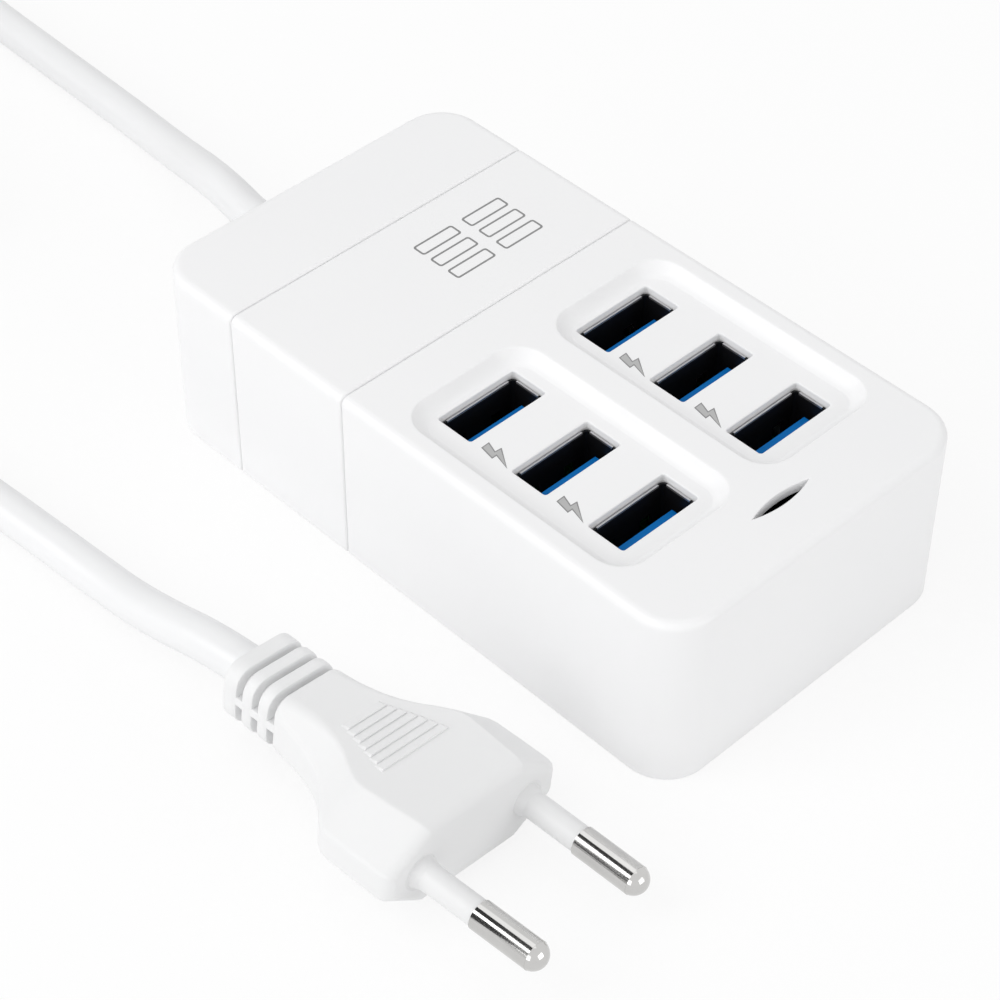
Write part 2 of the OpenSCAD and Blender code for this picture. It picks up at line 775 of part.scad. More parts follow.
module tie_groove(width) {
    high = coil_layers * cord_d;
    translate([coil_in - 2, -width / 2, -1]) difference() {
        cube([coil_out - coil_in + 4, width, high + 2]);
        translate([2 + tie_t, -1, 1 + tie_t])
            cube([coil_out - coil_in - 2 * tie_t, width + 2, high - 2 * tie_t]);
    }
}

module cord_tie() {
    high = coil_layers * cord_d;
    color("dimgray") translate([coil_x, coil_y, 0]) rotate([0, 0, tie_angle]) difference() {
        translate([coil_in, -tie_w / 2, 0]) cube([coil_out - coil_in, tie_w, high]);
        translate([coil_in + tie_t, -tie_w / 2 - 1, tie_t])
            cube([coil_out - coil_in - 2 * tie_t, tie_w + 2, high - 2 * tie_t]);
    }
}

// Plug, drawn with its face at y = 0 and its tail towards +y
module plug_place() {
    translate([plug_x, plug_y, plug_z]) rotate([0, 0, plug_turn]) rotate([0, plug_roll, 0]) children();
}

// One slice of the plug's eight sided head: width w, height h, flat f, side s
module head_slice(y, w, h, f, s) {
    translate([0, y, 0]) rotate([90, 0, 0]) linear_extrude(eps) polygon([
        [-f / 2, h / 2], [f / 2, h / 2], [w / 2, s / 2], [w / 2, -s / 2],
        [f / 2, -h / 2], [-f / 2, -h / 2], [-w / 2, -s / 2], [-w / 2, s / 2]]);
}

module neck_slice(y, w, h) {
    r = 2.8;
    translate([0, y, 0]) rotate([90, 0, 0]) linear_extrude(eps) hull()
        for (sx = [-1, 1], sz = [-1, 1]) translate([sx * (w / 2 - r), sz * (h / 2 - r)]) circle(r, $fn = 24);
}

// The head: full width to its shoulders, then a waist that draws in to the neck
module plug_shell() {
    s = 4;
    front_flat = plug_flat - 1.6;
    waist = (plug_w - neck_w) / 2;
    hull() {
        head_slice(eps, plug_w - 3, plug_h - 2.6, front_flat - 1, s - 1);
        head_slice(1.6, plug_w, plug_h, front_flat, s);
    }
    hull() {
        head_slice(1.6, plug_w, plug_h, front_flat, s);
        head_slice(shoulder_y, plug_w, plug_h, plug_flat, s);
    }
    hull() {
        head_slice(shoulder_y, plug_w, plug_h, plug_flat, s);
        head_slice(waist_y, plug_w - 0.68 * waist, plug_h - 0.3, 0.82 * plug_flat, s);
    }
    hull() {
        head_slice(waist_y, plug_w - 0.68 * waist, plug_h - 0.3, 0.82 * plug_flat, s);
        head_slice(throat_y, plug_w - 1.36 * waist, plug_h - 0.9, 0.57 * plug_flat, s);
    }
    hull() {
        head_slice(throat_y, plug_w - 1.36 * waist, plug_h - 0.9, 0.57 * plug_flat, s);
        neck_slice(plug_l - relief_l, neck_w, neck_h + 0.8);
    }
}

// The ribbed neck: a rounded bar with slits above and below, joined at its sides
module plug_neck() {
    first = plug_l - relief_l + 0.8 + slit;
    difference() {
        translate([0, plug_l, 0]) rotate([90, 0, 0]) linear_extrude(relief_l + eps) rounded_rect(neck_w, neck_h, 2.8);
        for (k = [0:2]) translate([0, first + k * slit_pitch, 0]) rotate([90, 0, 0]) linear_extrude(slit)
            difference() {
                square([neck_w + 2, neck_h + 2], center = true);
                rounded_rect(neck_w - 3, neck_h - 3, 1.4);
                square([neck_w + 3, 1.3], center = true);
            }
    }
}

module pin_place(side) {
    translate([side * pin_gap / 2, 0, 0]) rotate([90, 0, side * -pin_lean]) children();
}

sleeve_seat = 5;
module plug_body() {
    grip_ribs = 7;
    rib_pitch = 1.35;
    color("whitesmoke") plug_place() difference() {
        union() {
            plug_shell();
            plug_neck();
            for (k = [0:grip_ribs - 1]) translate([0, 10.6 + rib_pitch * k, plug_h / 2 - 1.6])
                centred_box(plug_flat - 7 - 0.8 * k, 0.6, 1.8 - 0.06 * k);
        }
        for (side = [-1, 1]) pin_place(side) translate([0, 0, -sleeve_seat]) rod(pin_d / 2 + 0.8, sleeve_seat + 2);
        for (side = [-1, 1]) pin_place(side) translate([0, 0, -sleeve_seat - 3]) rod(pin_d / 2 - 0.5 + fit, 4);
    }
}

module pin_sleeves() {
    core = pin_d / 2 - 0.5;
    color("whitesmoke") plug_place() for (side = [-1, 1]) pin_place(side) difference() {
        union() {
            translate([0, 0, -sleeve_seat]) rod(pin_d / 2 + 0.8 - fit, sleeve_seat);
            rod(sleeve_d / 2, sleeve_l);
            cylinder(r1 = sleeve_d / 2 + 0.5, r2 = sleeve_d / 2, h = 1.2);
        }
        translate([0, 0, -sleeve_seat - 1]) rod(core + fit / 2, sleeve_l + sleeve_seat + 2);
    }
}

module plug_pins() {
    core = pin_d / 2 - 0.5;
    r = pin_d / 2;
    color("silver") plug_place() for (side = [-1, 1]) pin_place(side) {
        translate([0, 0, -sleeve_seat - 3]) rod(core, sleeve_l + sleeve_seat + 3 + eps);
        translate([0, 0, sleeve_l]) rod(r, pin_l - sleeve_l - r * 0.8);
        translate([0, 0, pin_l - r * 0.8]) intersection() {
            rod(r, r);
            translate([0, 0, -r * 0.2]) scale(1) sphere(r);
        }
    }
}

front_housing();
centre_band();
rear_housing();
base_cover();
base_screws();
strain_relief();
cord_stub();
wire_live();
wire_neutral();
main_board();
board_screws();
port_board();
port_board_screws();
link_header();
link_pins();
indicator_led();
usb_shell(0);  // usb_shell_1
usb_shell(1);  // usb_shell_2
usb_shell(2);  // usb_shell_3
usb_shell(3);  // usb_shell_4
usb_shell(4);  // usb_shell_5
usb_shell(5);  // usb_shell_6
usb_tongue(0);  // usb_tongue_1
usb_tongue(1);  // usb_tongue_2
usb_tongue(2);  // usb_tongue_3
usb_tongue(3);  // usb_tongue_4
usb_tongue(4);  // usb_tongue_5
usb_tongue(5);  // usb_tongue_6
usb_contacts(0);  // usb_contacts_1
usb_contacts(1);  // usb_contacts_2
usb_contacts(2);  // usb_contacts_3
usb_contacts(3);  // usb_contacts_4
usb_contacts(4);  // usb_contacts_5
usb_contacts(5);  // usb_contacts_6
transformer_core();
transformer_winding();
input_capacitor();
output_capacitors();
fuse();
bridge_rectifier();
safety_capacitor();
control_chips();
cord_from_housing();
cord_coil();
cord_to_plug();
cord_tie();
plug_body();
pin_sleeves();
plug_pins();
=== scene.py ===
"""Looks of the six port USB charger: its finishes, its fine mouldings, the lead and the plug.

Every drawing below is in millimetres and is scaled to metres when it becomes a piece.
"""
import math

import bmesh
import bpy
from mathutils import Matrix, Vector


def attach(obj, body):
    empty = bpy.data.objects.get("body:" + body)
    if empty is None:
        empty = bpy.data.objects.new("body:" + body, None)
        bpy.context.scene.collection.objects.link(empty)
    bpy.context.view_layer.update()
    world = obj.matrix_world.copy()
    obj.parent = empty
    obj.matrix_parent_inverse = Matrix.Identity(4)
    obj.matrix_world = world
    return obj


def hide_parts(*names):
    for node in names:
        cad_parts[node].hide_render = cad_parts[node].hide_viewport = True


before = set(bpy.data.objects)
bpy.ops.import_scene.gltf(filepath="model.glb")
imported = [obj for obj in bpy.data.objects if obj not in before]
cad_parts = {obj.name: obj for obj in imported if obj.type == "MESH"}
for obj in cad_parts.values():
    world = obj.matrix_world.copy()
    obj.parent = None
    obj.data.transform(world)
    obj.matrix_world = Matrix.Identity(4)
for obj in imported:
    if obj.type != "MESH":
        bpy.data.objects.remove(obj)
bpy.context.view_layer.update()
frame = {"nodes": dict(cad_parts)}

MM = 0.001
BODY = "root"

# Housing
BODY_W = 54.0
BODY_L = 97.5
BODY_H = 27.98
CORNER_R = 6.5
EDGE_R = 1.2
FOOT_R = 0.3
WALL = 2.0
SEAM_R = 0.38
SEAM_SHOWN = 0.05
REAR_L = 16.2
BAND_L = 22.0
BASE_T = 2.0
LIP_REACH = 2.5
LIP_T = 1.0
SUPPORT = 0.2

FRONT_Y = -BODY_L / 2
REAR_Y = BODY_L / 2
BAND_Y1 = REAR_Y - REAR_L
BAND_Y0 = BAND_Y1 - BAND_L

# Port bays
BAY_W = 21.8
BAY_L = 39.8
BAY_GAP = 4.2
BAY_R = 4.5
BAY_DEPTH = 1.8
BAY_SLOPE = 1.9
PAN_T = 1.8
BAY_X = (BAY_GAP + BAY_W) / 2
BAY_Y = FRONT_Y + 12.1 + BAY_L / 2
BAY_FLOOR = BODY_H - BAY_DEPTH
PAN_Z = BAY_FLOOR - PAN_T

# Ports
PORT_X = BAY_X - 0.5
PORT_Y = BAY_Y + 0.8
PORT_PITCH = 13.5
SHELL_W = 13.1
SHELL_T = 5.7
SLOT_W = SHELL_W + 0.4
SLOT_T = SHELL_T + 0.4
SLOT_ROUND = 0.2
SHELL_TOP = BAY_FLOOR - 1.0
BOARD_TOP = SHELL_TOP - 13.0
PORTS = [(side * PORT_X, PORT_Y + row * PORT_PITCH) for side in (-1, 1) for row in (1, 0, -1)]

# Indicator window
WINDOW_L = 10.4
WINDOW_W = 1.7
WINDOW_Y = FRONT_Y + 7.9
WINDOW_T = 1.55

# Screw posts
POST_R = 3.0
POST_X = BODY_W / 2 - WALL - POST_R - 0.5
POST_FRONT_Y = FRONT_Y + WALL + POST_R + 1.2
POST_REAR_Y = REAR_Y - WALL - POST_R - 2.6
HANGER_R = 2.0
HANGER_YS = (BAY_Y - BAY_L / 2 + 2, BAY_Y + BAY_L / 2 - 1)

# Lead
CORD_D = 6.0
OUTLET_Z = 14.0
RELIEF_NECK = CORD_D / 2 + 1.5
COIL_CENTRE = (-54.0, 136.0)
COIL_RADII = (24.0, 30.0, 35.7)
COIL_STEPS = 24
COIL_TURNS = 5.25
STRAP_W = 7.0
STRAP_T = 0.8
STRAP_TURN = math.radians(-50)

# Plug
PLUG_PLACE = (-52.4, -41.0, 7.477)
PLUG_TURN = math.radians(2.7)
PLUG_ROLL = math.radians(8)
PLUG_LIE = Matrix.Rotation(PLUG_TURN, 3, "Z") @ Matrix.Rotation(PLUG_ROLL, 3, "Y")
PLUG_L = 38.0
NECK_START = 29.0
NECK_W = 11.5
NECK_H = 9.0
NECK_R = 2.6
SLIT = 1.0
SLIT_PITCH = 2.8
SLATS = 7
SLAT_START = 10.6
SLAT_PITCH = 1.35
SLAT_L = 1.25
SLAT_REACH = 5.75
SLAT_TAPER = 0.4
SLAT_RISE = 0.32

# Prints
MAP_X = (4.0, 13.0)
MAP_Y = BAND_Y0 + 11.5
MAP_PITCH = 3.4
MAP_FRAME = ((3.6, 1.15, 0.45), (3.3, 0.85, 0.25))
BOLT_X = (-BAY_X - 5.3, BAY_X - 6.3)
BOLT_Y = (PORT_Y + PORT_PITCH / 2 - 0.32, PORT_Y - PORT_PITCH / 2 - 0.32)
INK_LINE = 0.17

# Light
AIM = (-0.05, -0.06, 0.01)


def add_object(name, data):
    """A new object in the scene from its mesh, curve, lamp or camera data."""
    thing = bpy.data.objects.new(name, data)
    bpy.context.collection.objects.link(thing)
    return thing


def make_camera():
    """The photograph's own view: a long lens from the left, above the front."""
    data = bpy.data.cameras.new("camera")
    data.lens = 100.55
    data.sensor_width = 36.0
    data.clip_start = 0.01
    data.clip_end = 20.0
    camera = add_object("camera", data)
    sideways = Vector((0.71887321, -0.69512261, 0.00508579))
    up = Vector((0.48129517, 0.50299213, 0.71788152))
    away = sideways.cross(up)
    turn = Matrix((sideways, up, away)).transposed().to_4x4()
    camera.matrix_world = Matrix.Translation(Vector((-197.93, -193.90, 267.70)) * MM) @ turn
    bpy.context.scene.camera = camera


make_camera()

# Node groups that several finishes share


def new_group(name, inputs, outputs):
    """An empty node group with named sockets; inputs are (name, kind, value)."""
    group = bpy.data.node_groups.new(name, "ShaderNodeTree")
    for label, kind, value in inputs:
        socket = group.interface.new_socket(label, in_out="INPUT", socket_type="NodeSocket" + kind)
        if value is not None:
            socket.default_value = value
    for label, kind in outputs:
        group.interface.new_socket(label, in_out="OUTPUT", socket_type="NodeSocket" + kind)
    nodes = group.nodes
    return group, nodes, group.links, nodes.new("NodeGroupInput"), nodes.new("NodeGroupOutput")


def noise(nodes, links, scale, detail=3.0, rough=0.5):
    """A noise over the piece's own coordinates; scale is a number or a socket."""
    place = nodes.new("ShaderNodeTexCoord")
    texture = nodes.new("ShaderNodeTexNoise")
    texture.inputs["Detail"].default_value = detail
    texture.inputs["Roughness"].default_value = rough
    links.new(place.outputs["Object"], texture.inputs["Vector"])
    if isinstance(scale, (int, float)):
        texture.inputs["Scale"].default_value = scale
    else:
        links.new(scale, texture.inputs["Scale"])
    return texture.outputs["Fac"]


def maths(nodes, links, operation, a, b, clamp=False):
    node = nodes.new("ShaderNodeMath")
    node.operation = operation
    node.use_clamp = clamp
    for socket, value in zip(node.inputs, (a, b)):
        if isinstance(value, (int, float)):
            socket.default_value = value
        else:
            links.new(value, socket)
    return node.outputs[0]


def spread(nodes, links, value, low, high, to_low=0.0, to_high=1.0):
    node = nodes.new("ShaderNodeMapRange")
    node.inputs["From Min"].default_value = low
    node.inputs["From Max"].default_value = high
    node.inputs["To Min"].default_value = to_low
    node.inputs["To Max"].default_value = to_high
    links.new(value, node.inputs["Value"])
    return node.outputs["Result"]


def blend_colours(nodes, links, amount, a, b):
    node = nodes.new("ShaderNodeMix")
    node.data_type = "RGBA"
    for socket, value in ((node.inputs[0], amount), (node.inputs[6], a), (node.inputs[7], b)):
        if isinstance(value, (int, float, tuple)):
            socket.default_value = value
        else:
            links.new(value, socket)
    return node.outputs[2]


def build_moulded_grain():
    """The fine spark eroded texture of a mould: a height for a bump and a mask of its pits."""
    group, nodes, links, given, out = new_group(
        "moulded_grain",
        [("Scale", "Float", 2500.0), ("Coarseness", "Float", 0.5)],
        [("Height", "Float"), ("Pits", "Float")])
    fine = noise(nodes, links, given.outputs["Scale"], 2.0, 0.6)
    wide_scale = maths(nodes, links, "MULTIPLY", given.outputs["Scale"], 0.35)
    wide = noise(nodes, links, wide_scale, 2.0, 0.5)
    both = maths(nodes, links, "ADD", fine,
                 maths(nodes, links, "MULTIPLY", wide, given.outputs["Coarseness"]))
    links.new(both, out.inputs["Height"])
    links.new(spread(nodes, links, fine, 0.35, 0.65), out.inputs["Pits"])
    return group


def build_soft_tone():
    """A colour that drifts a little over the piece, towards a second colour."""
    group, nodes, links, given, out = new_group(
        "soft_tone",
        [("Colour", "Color", (1, 1, 1, 1)), ("Drift", "Color", (0.9, 0.9, 0.9, 1)),
         ("Amount", "Float", 0.5), ("Scale", "Float", 40.0)],
        [("Colour", "Color"), ("Mask", "Float")])
    cloud = spread(nodes, links, noise(nodes, links, given.outputs["Scale"], 4.0, 0.55), 0.3, 0.7)
    mask = maths(nodes, links, "MULTIPLY", cloud, given.outputs["Amount"], clamp=True)
    links.new(blend_colours(nodes, links, mask, given.outputs["Colour"], given.outputs["Drift"]),
              out.inputs["Colour"])
    links.new(cloud, out.inputs["Mask"])
    return group


def build_edge_rub():
    """Where hands rub a piece: its outer edges, broken up by a noise."""
    group, nodes, links, given, out = new_group(
        "edge_rub", [("Strength", "Float", 0.5)], [("Mask", "Float")])
    shape = nodes.new("ShaderNodeNewGeometry")
    edge = spread(nodes, links, shape.outputs["Pointiness"], 0.52, 0.62)
    patchy = spread(nodes, links, noise(nodes, links, 260.0, 4.0, 0.6), 0.4, 0.6, 0.3, 1.0)
    rub = maths(nodes, links, "MULTIPLY", edge, patchy)
    links.new(maths(nodes, links, "MULTIPLY", rub, given.outputs["Strength"], clamp=True),
              out.inputs["Mask"])
    return group


def build_drawn_lines():
    """Fine lines that run along one axis, as rolling and drawing leave them on metal."""
    group, nodes, links, given, out = new_group(
        "drawn_lines", [("Stretch", "Vector", (4000.0, 4000.0, 300.0))],
        [("Height", "Float"), ("Streaks", "Float")])
    place = nodes.new("ShaderNodeTexCoord")
    stretch = nodes.new("ShaderNodeVectorMath")
    stretch.operation = "MULTIPLY"
    links.new(place.outputs["Object"], stretch.inputs[0])
    links.new(given.outputs["Stretch"], stretch.inputs[1])
    texture = nodes.new("ShaderNodeTexNoise")
    texture.inputs["Scale"].default_value = 1.0
    texture.inputs["Detail"].default_value = 2.0
    links.new(stretch.outputs[0], texture.inputs["Vector"])
    links.new(texture.outputs["Fac"], out.inputs["Height"])
    links.new(spread(nodes, links, texture.outputs["Fac"], 0.35, 0.65), out.inputs["Streaks"])
    return group


GRAIN_DEPTH = 0.00002
LINE_DEPTH = 0.00001
TRACK_DEPTH = 0.00003
GRAIN = build_moulded_grain()
TONE = build_soft_tone()
RUB = build_edge_rub()
LINES = build_drawn_lines()


def place_group(tree, group, **values):
    node = tree.nodes.new("ShaderNodeGroup")
    node.node_tree = group
    for label, value in values.items():
        node.inputs[label].default_value = value
    return node


def bump_from(tree, height, strength, distance):
    bump = tree.nodes.new("ShaderNodeBump")
    bump.inputs["Strength"].default_value = strength
    bump.inputs["Distance"].default_value = distance
    tree.links.new(height, bump.inputs["Height"])
    return bump.outputs["Normal"]


def opaque(colour):
    return (*colour, 1.0)


def start_material(name):
    material = bpy.data.materials.new(name)
    material.use_nodes = True
    tree = material.node_tree
    return material, tree, tree.nodes["Principled BSDF"]


def moulded(name, colour, drift, roughness, grain_scale=2600.0, grain=0.15, rub=0.25,
            amount=0.6, coat=0.0, tone_scale=30.0, gloss=0.5):
    """A moulded plastic: drifting tone, rubbed edges and the mould's fine grain."""
    material, tree, shader = start_material(name)
    tone = place_group(tree, TONE, Colour=opaque(colour), Drift=opaque(drift), Amount=amount,
                       Scale=tone_scale)
    texture = place_group(tree, GRAIN, Scale=grain_scale, Coarseness=0.6)
    edges = place_group(tree, RUB, Strength=rub)
    tree.links.new(tone.outputs["Colour"], shader.inputs["Base Color"])
    rough = spread(tree.nodes, tree.links, texture.outputs["Pits"], 0.0, 1.0,
                   roughness - 0.04, roughness + 0.05)
    worn = maths(tree.nodes, tree.links, "MULTIPLY", edges.outputs["Mask"], -0.12)
    tree.links.new(maths(tree.nodes, tree.links, "ADD", rough, worn, clamp=True),
                   shader.inputs["Roughness"])
    tree.links.new(bump_from(tree, texture.outputs["Height"], grain, GRAIN_DEPTH),
                   shader.inputs["Normal"])
    shader.inputs["Coat Weight"].default_value = coat
    shader.inputs["Coat Roughness"].default_value = 0.25
    shader.inputs["Specular IOR Level"].default_value = gloss
    return material


def metal(name, colour, drift, roughness, stretch=(4000.0, 4000.0, 300.0), lines=0.12):
    """A plated or drawn metal: faint lines, streaks in its gloss and a drifting tone."""
    material, tree, shader = start_material(name)
    tone = place_group(tree, TONE, Colour=opaque(colour), Drift=opaque(drift), Amount=0.7,
                       Scale=160.0)
    drawn = place_group(tree, LINES, Stretch=stretch)
    tree.links.new(tone.outputs["Colour"], shader.inputs["Base Color"])
    tree.links.new(spread(tree.nodes, tree.links, drawn.outputs["Streaks"], 0.0, 1.0,
                          roughness - 0.03, roughness + 0.06), shader.inputs["Roughness"])
    tree.links.new(bump_from(tree, drawn.outputs["Height"], lines, LINE_DEPTH),
                   shader.inputs["Normal"])
    shader.inputs["Metallic"].default_value = 1.0
    return material


def far_from(tree, value, step, start, reach):
    """1 where a coordinate is further than reach from every one of its evenly spaced lines."""
    row = maths(tree.nodes, tree.links, "ADD", value, (step / 2 - start) * MM)
    inside = maths(tree.nodes, tree.links, "FLOORED_MODULO", row, step * MM)
    away = maths(tree.nodes, tree.links, "ABSOLUTE",
                 maths(tree.nodes, tree.links, "SUBTRACT", inside, step / 2 * MM), 0.0)
    return maths(tree.nodes, tree.links, "GREATER_THAN", away, reach * MM)


def port_sheet_painted_shade(name):
    """The ports' nickel plated sheet: bright metal along its lips, with painted shade, near-black
    and not metallic, at the lips' corners and all below them.
    """
    material, tree, shader = start_material(name)
    nodes, links = tree.nodes, tree.links
    tone = place_group(tree, TONE, Colour=(0.62, 0.62, 0.63, 1), Drift=(0.5, 0.5, 0.52, 1),
                       Amount=0.6, Scale=300.0)
    drawn = place_group(tree, LINES, Stretch=(400.0, 400.0, 5000.0))
    place = nodes.new("ShaderNodeTexCoord")
    split = nodes.new("ShaderNodeSeparateXYZ")
    links.new(place.outputs["Object"], split.inputs[0])
    # Painted shade: the sheet below its lips and at the lips' corners gets a near-black colour for
    # the shade inside the port's hollow.
    lip = spread(nodes, links, split.outputs["Z"], (SHELL_TOP - 0.3) * MM, (SHELL_TOP - 0.16) * MM)
    corner = maths(nodes, links, "MULTIPLY",
                   far_from(tree, split.outputs["X"], 2 * PORT_X, PORT_X, SHELL_W / 2 - 1.05),
                   far_from(tree, split.outputs["Y"], PORT_PITCH, PORT_Y, SHELL_T / 2 - 0.85))
    lip = maths(nodes, links, "MULTIPLY", lip, maths(nodes, links, "SUBTRACT", 1.0, corner))
    # Painted shade, near-black and not metallic, wherever the lip mask is 0; the metal tone only
    # along the lips.
    shade = blend_colours(nodes, links, lip, (0.006, 0.006, 0.007, 1), tone.outputs["Colour"])
    links.new(shade, shader.inputs["Base Color"])
    links.new(lip, shader.inputs["Metallic"])
    links.new(spread(nodes, links, drawn.outputs["Streaks"], 0.0, 1.0, 0.3, 0.42),
              shader.inputs["Roughness"])
    links.new(bump_from(tree, drawn.outputs["Height"], 0.1, LINE_DEPTH), shader.inputs["Normal"])
    shader.inputs["Specular IOR Level"].default_value = 0.15
    return material


def solder_mask(name):
    """A green board whose buried tracks show as a lighter, raised pattern."""
    material, tree, shader = start_material(name)
    place = tree.nodes.new("ShaderNodeTexCoord")
    tracks = tree.nodes.new("ShaderNodeTexBrick")
    tracks.inputs["Scale"].default_value = 260.0
    tracks.inputs["Mortar Size"].default_value = 0.03
    tracks.inputs["Color1"].default_value = (0.012, 0.13, 0.04, 1)
    tracks.inputs["Color2"].default_value = (0.015, 0.16, 0.05, 1)
    tracks.inputs["Mortar"].default_value = (0.03, 0.26, 0.09, 1)
    tree.links.new(place.outputs["Object"], tracks.inputs["Vector"])
    texture = place_group(tree, GRAIN, Scale=1500.0, Coarseness=0.4)
    tree.links.new(tracks.outputs["Color"], shader.inputs["Base Color"])
    tree.links.new(spread(tree.nodes, tree.links, texture.outputs["Pits"], 0.0, 1.0, 0.3, 0.42),
                   shader.inputs["Roughness"])
    tree.links.new(bump_from(tree, tracks.outputs["Fac"], 0.2, TRACK_DEPTH), shader.inputs["Normal"])
    return material


def clear_glass(name):
    material, tree, shader = start_material(name)
    texture = place_group(tree, GRAIN, Scale=900.0, Coarseness=0.5)
    shader.inputs["Base Color"].default_value = (0.9, 0.94, 0.96, 1)
    shader.inputs["Transmission Weight"].default_value = 0.85
    shader.inputs["IOR"].default_value = 1.48
    tree.links.new(spread(tree.nodes, tree.links, texture.outputs["Pits"], 0.0, 1.0, 0.04, 0.1),
                   shader.inputs["Roughness"])
    return material


HOUSING_WHITE = moulded("housing_white", (0.88, 0.88, 0.885), (0.86, 0.862, 0.87), 0.36,
                        grain=0.1)
PLUG_WHITE = moulded("plug_white", (0.812, 0.814, 0.817), (0.785, 0.787, 0.791), 0.5, 2200.0,
                     0.3, 0.3)
CORD_WHITE = moulded("cord_white", (0.83, 0.833, 0.84), (0.80, 0.803, 0.81), 0.34, 1500.0,
                     0.12, 0.0, coat=0.15, tone_scale=60.0)
SLEEVE_WHITE = moulded("sleeve_white", (0.78, 0.782, 0.785), (0.745, 0.747, 0.751), 0.42, 2400.0,
                       0.2)
TONGUE_BLUE = moulded("tongue_blue", (0.0, 0.17, 0.54), (0.0, 0.14, 0.46), 0.55, 3000.0, 0.1,
                      gloss=0.15)
BLACK_MOULDING = moulded("black_moulding", (0.015, 0.015, 0.016), (0.03, 0.03, 0.03), 0.45, 2500.0,
                         0.3)
FERRITE = moulded("pressed_ferrite", (0.035, 0.034, 0.034), (0.06, 0.058, 0.055), 0.6, 1400.0, 0.5)
TAPE_YELLOW = moulded("winding_tape", (0.75, 0.52, 0.06), (0.6, 0.4, 0.05), 0.3, 900.0, 0.2,
                      coat=0.3)
CAN_SLEEVE = moulded("can_sleeve", (0.02, 0.03, 0.11), (0.03, 0.045, 0.14), 0.28, 1800.0, 0.15,
                     coat=0.3)
DISC_BLUE = moulded("disc_dip", (0.03, 0.16, 0.5), (0.04, 0.2, 0.55), 0.35, 1300.0, 0.35)
WIRE_BROWN = moulded("wire_brown", (0.13, 0.05, 0.02), (0.16, 0.07, 0.03), 0.4, 2000.0, 0.15)
WIRE_BLUE = moulded("wire_blue", (0.02, 0.09, 0.42), (0.03, 0.11, 0.46), 0.4, 2000.0, 0.15)
TIE_GREY = moulded("tie_weave", (0.05, 0.05, 0.052), (0.09, 0.09, 0.09), 0.75, 900.0, 0.6)
INK_GREY = moulded("print_ink", (0.22, 0.22, 0.222), (0.26, 0.26, 0.262), 0.5, 4000.0, 0.1)
INK_PALE = moulded("print_field", (0.44, 0.44, 0.44), (0.5, 0.5, 0.5), 0.5, 4000.0, 0.1)
LENS_CLEAR = moulded("lens_clear", (0.7, 0.78, 0.85), (0.62, 0.7, 0.8), 0.15, 1500.0, 0.05)
SCREW_STEEL = metal("screw_steel", (0.62, 0.62, 0.62), (0.5, 0.5, 0.5), 0.3)
PIN_NICKEL = metal("pin_nickel", (0.6, 0.595, 0.585), (0.52, 0.515, 0.505), 0.08,
                   (700.0, 60.0, 700.0), 0.05)
CONTACT_GOLD = metal("contact_gold", (0.9, 0.66, 0.25), (0.8, 0.56, 0.2), 0.25)
PORT_SHEET_PAINTED_SHADE = port_sheet_painted_shade("port_sheet_painted_shade")
BOARD_GREEN = solder_mask("board_green")
FUSE_GLASS = clear_glass("fuse_glass")

# Drawing helpers: outlines are lists of (x, y, z) in millimetres

SHARP_ANGLE = 38.0
BURIED = 0.4


def drawn_mesh(name, shape):
    """A drawing as a mesh in metres, with flat faces."""
    bmesh.ops.recalc_face_normals(shape, faces=shape.faces)
    bmesh.ops.scale(shape, vec=(MM, MM, MM), verts=shape.verts)
    mesh = bpy.data.meshes.new(name)
    shape.to_mesh(mesh)
    shape.free()
    return mesh


def smooth_mesh(name, shape, sharp=SHARP_ANGLE):
    """A drawing as a mesh in metres, smooth but for edges sharper than an angle."""
    mesh = drawn_mesh(name, shape)
    mesh.shade_smooth()
    mesh.set_sharp_from_angle(angle=math.radians(sharp))
    return mesh


def set_down(shape, turn, place):
    """Turns a drawing about the origin and moves it to its place."""
    bmesh.ops.rotate(shape, verts=shape.verts, cent=(0, 0, 0), matrix=turn)
    bmesh.ops.translate(shape, verts=shape.verts, vec=place)


def make_piece(name, shape, material, sharp=SHARP_ANGLE):
    """Makes a drawing a piece that rides on the charger."""
    mesh = smooth_mesh(name, shape, sharp)
    mesh.materials.append(material)
    piece = add_object(name, mesh)
    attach(piece, BODY)
    return piece


def add_loop(shape, points):
    return [shape.verts.new(point) for point in points]


def bridge(shape, first, second, closed=True):
    """Quads between two loops of as many points."""
    count = len(first)
    for i in range(count if closed else count - 1):
        j = (i + 1) % count
        shape.faces.new((first[i], first[j], second[j], second[i]))


def stack(shape, loops, closed=True):
    """Bridges a list of outlines one after the other and returns their vertices."""
    rings = [add_loop(shape, loop) for loop in loops]
    for first, second in zip(rings, rings[1:]):
        bridge(shape, first, second, closed)
    return rings


def fill_flat(shape, *loops):
    """Fills the flat face between an outer loop and the holes in it."""
    edges = []
    for loop in loops:
        for a, b in zip(loop, loop[1:] + loop[:1]):
            edges.append(shape.edges.get((a, b)) or shape.edges.new((a, b)))
    bmesh.ops.triangle_fill(shape, use_beauty=True, edges=edges, normal=(0, 0, 1))


def arc(cx, cy, radius, start, end, steps):
    """Points on an arc, angles in degrees."""
    angles = [math.radians(start + (end - start) * k / steps) for k in range(steps + 1)]
    return [(cx + radius * math.cos(a), cy + radius * math.sin(a)) for a in angles]


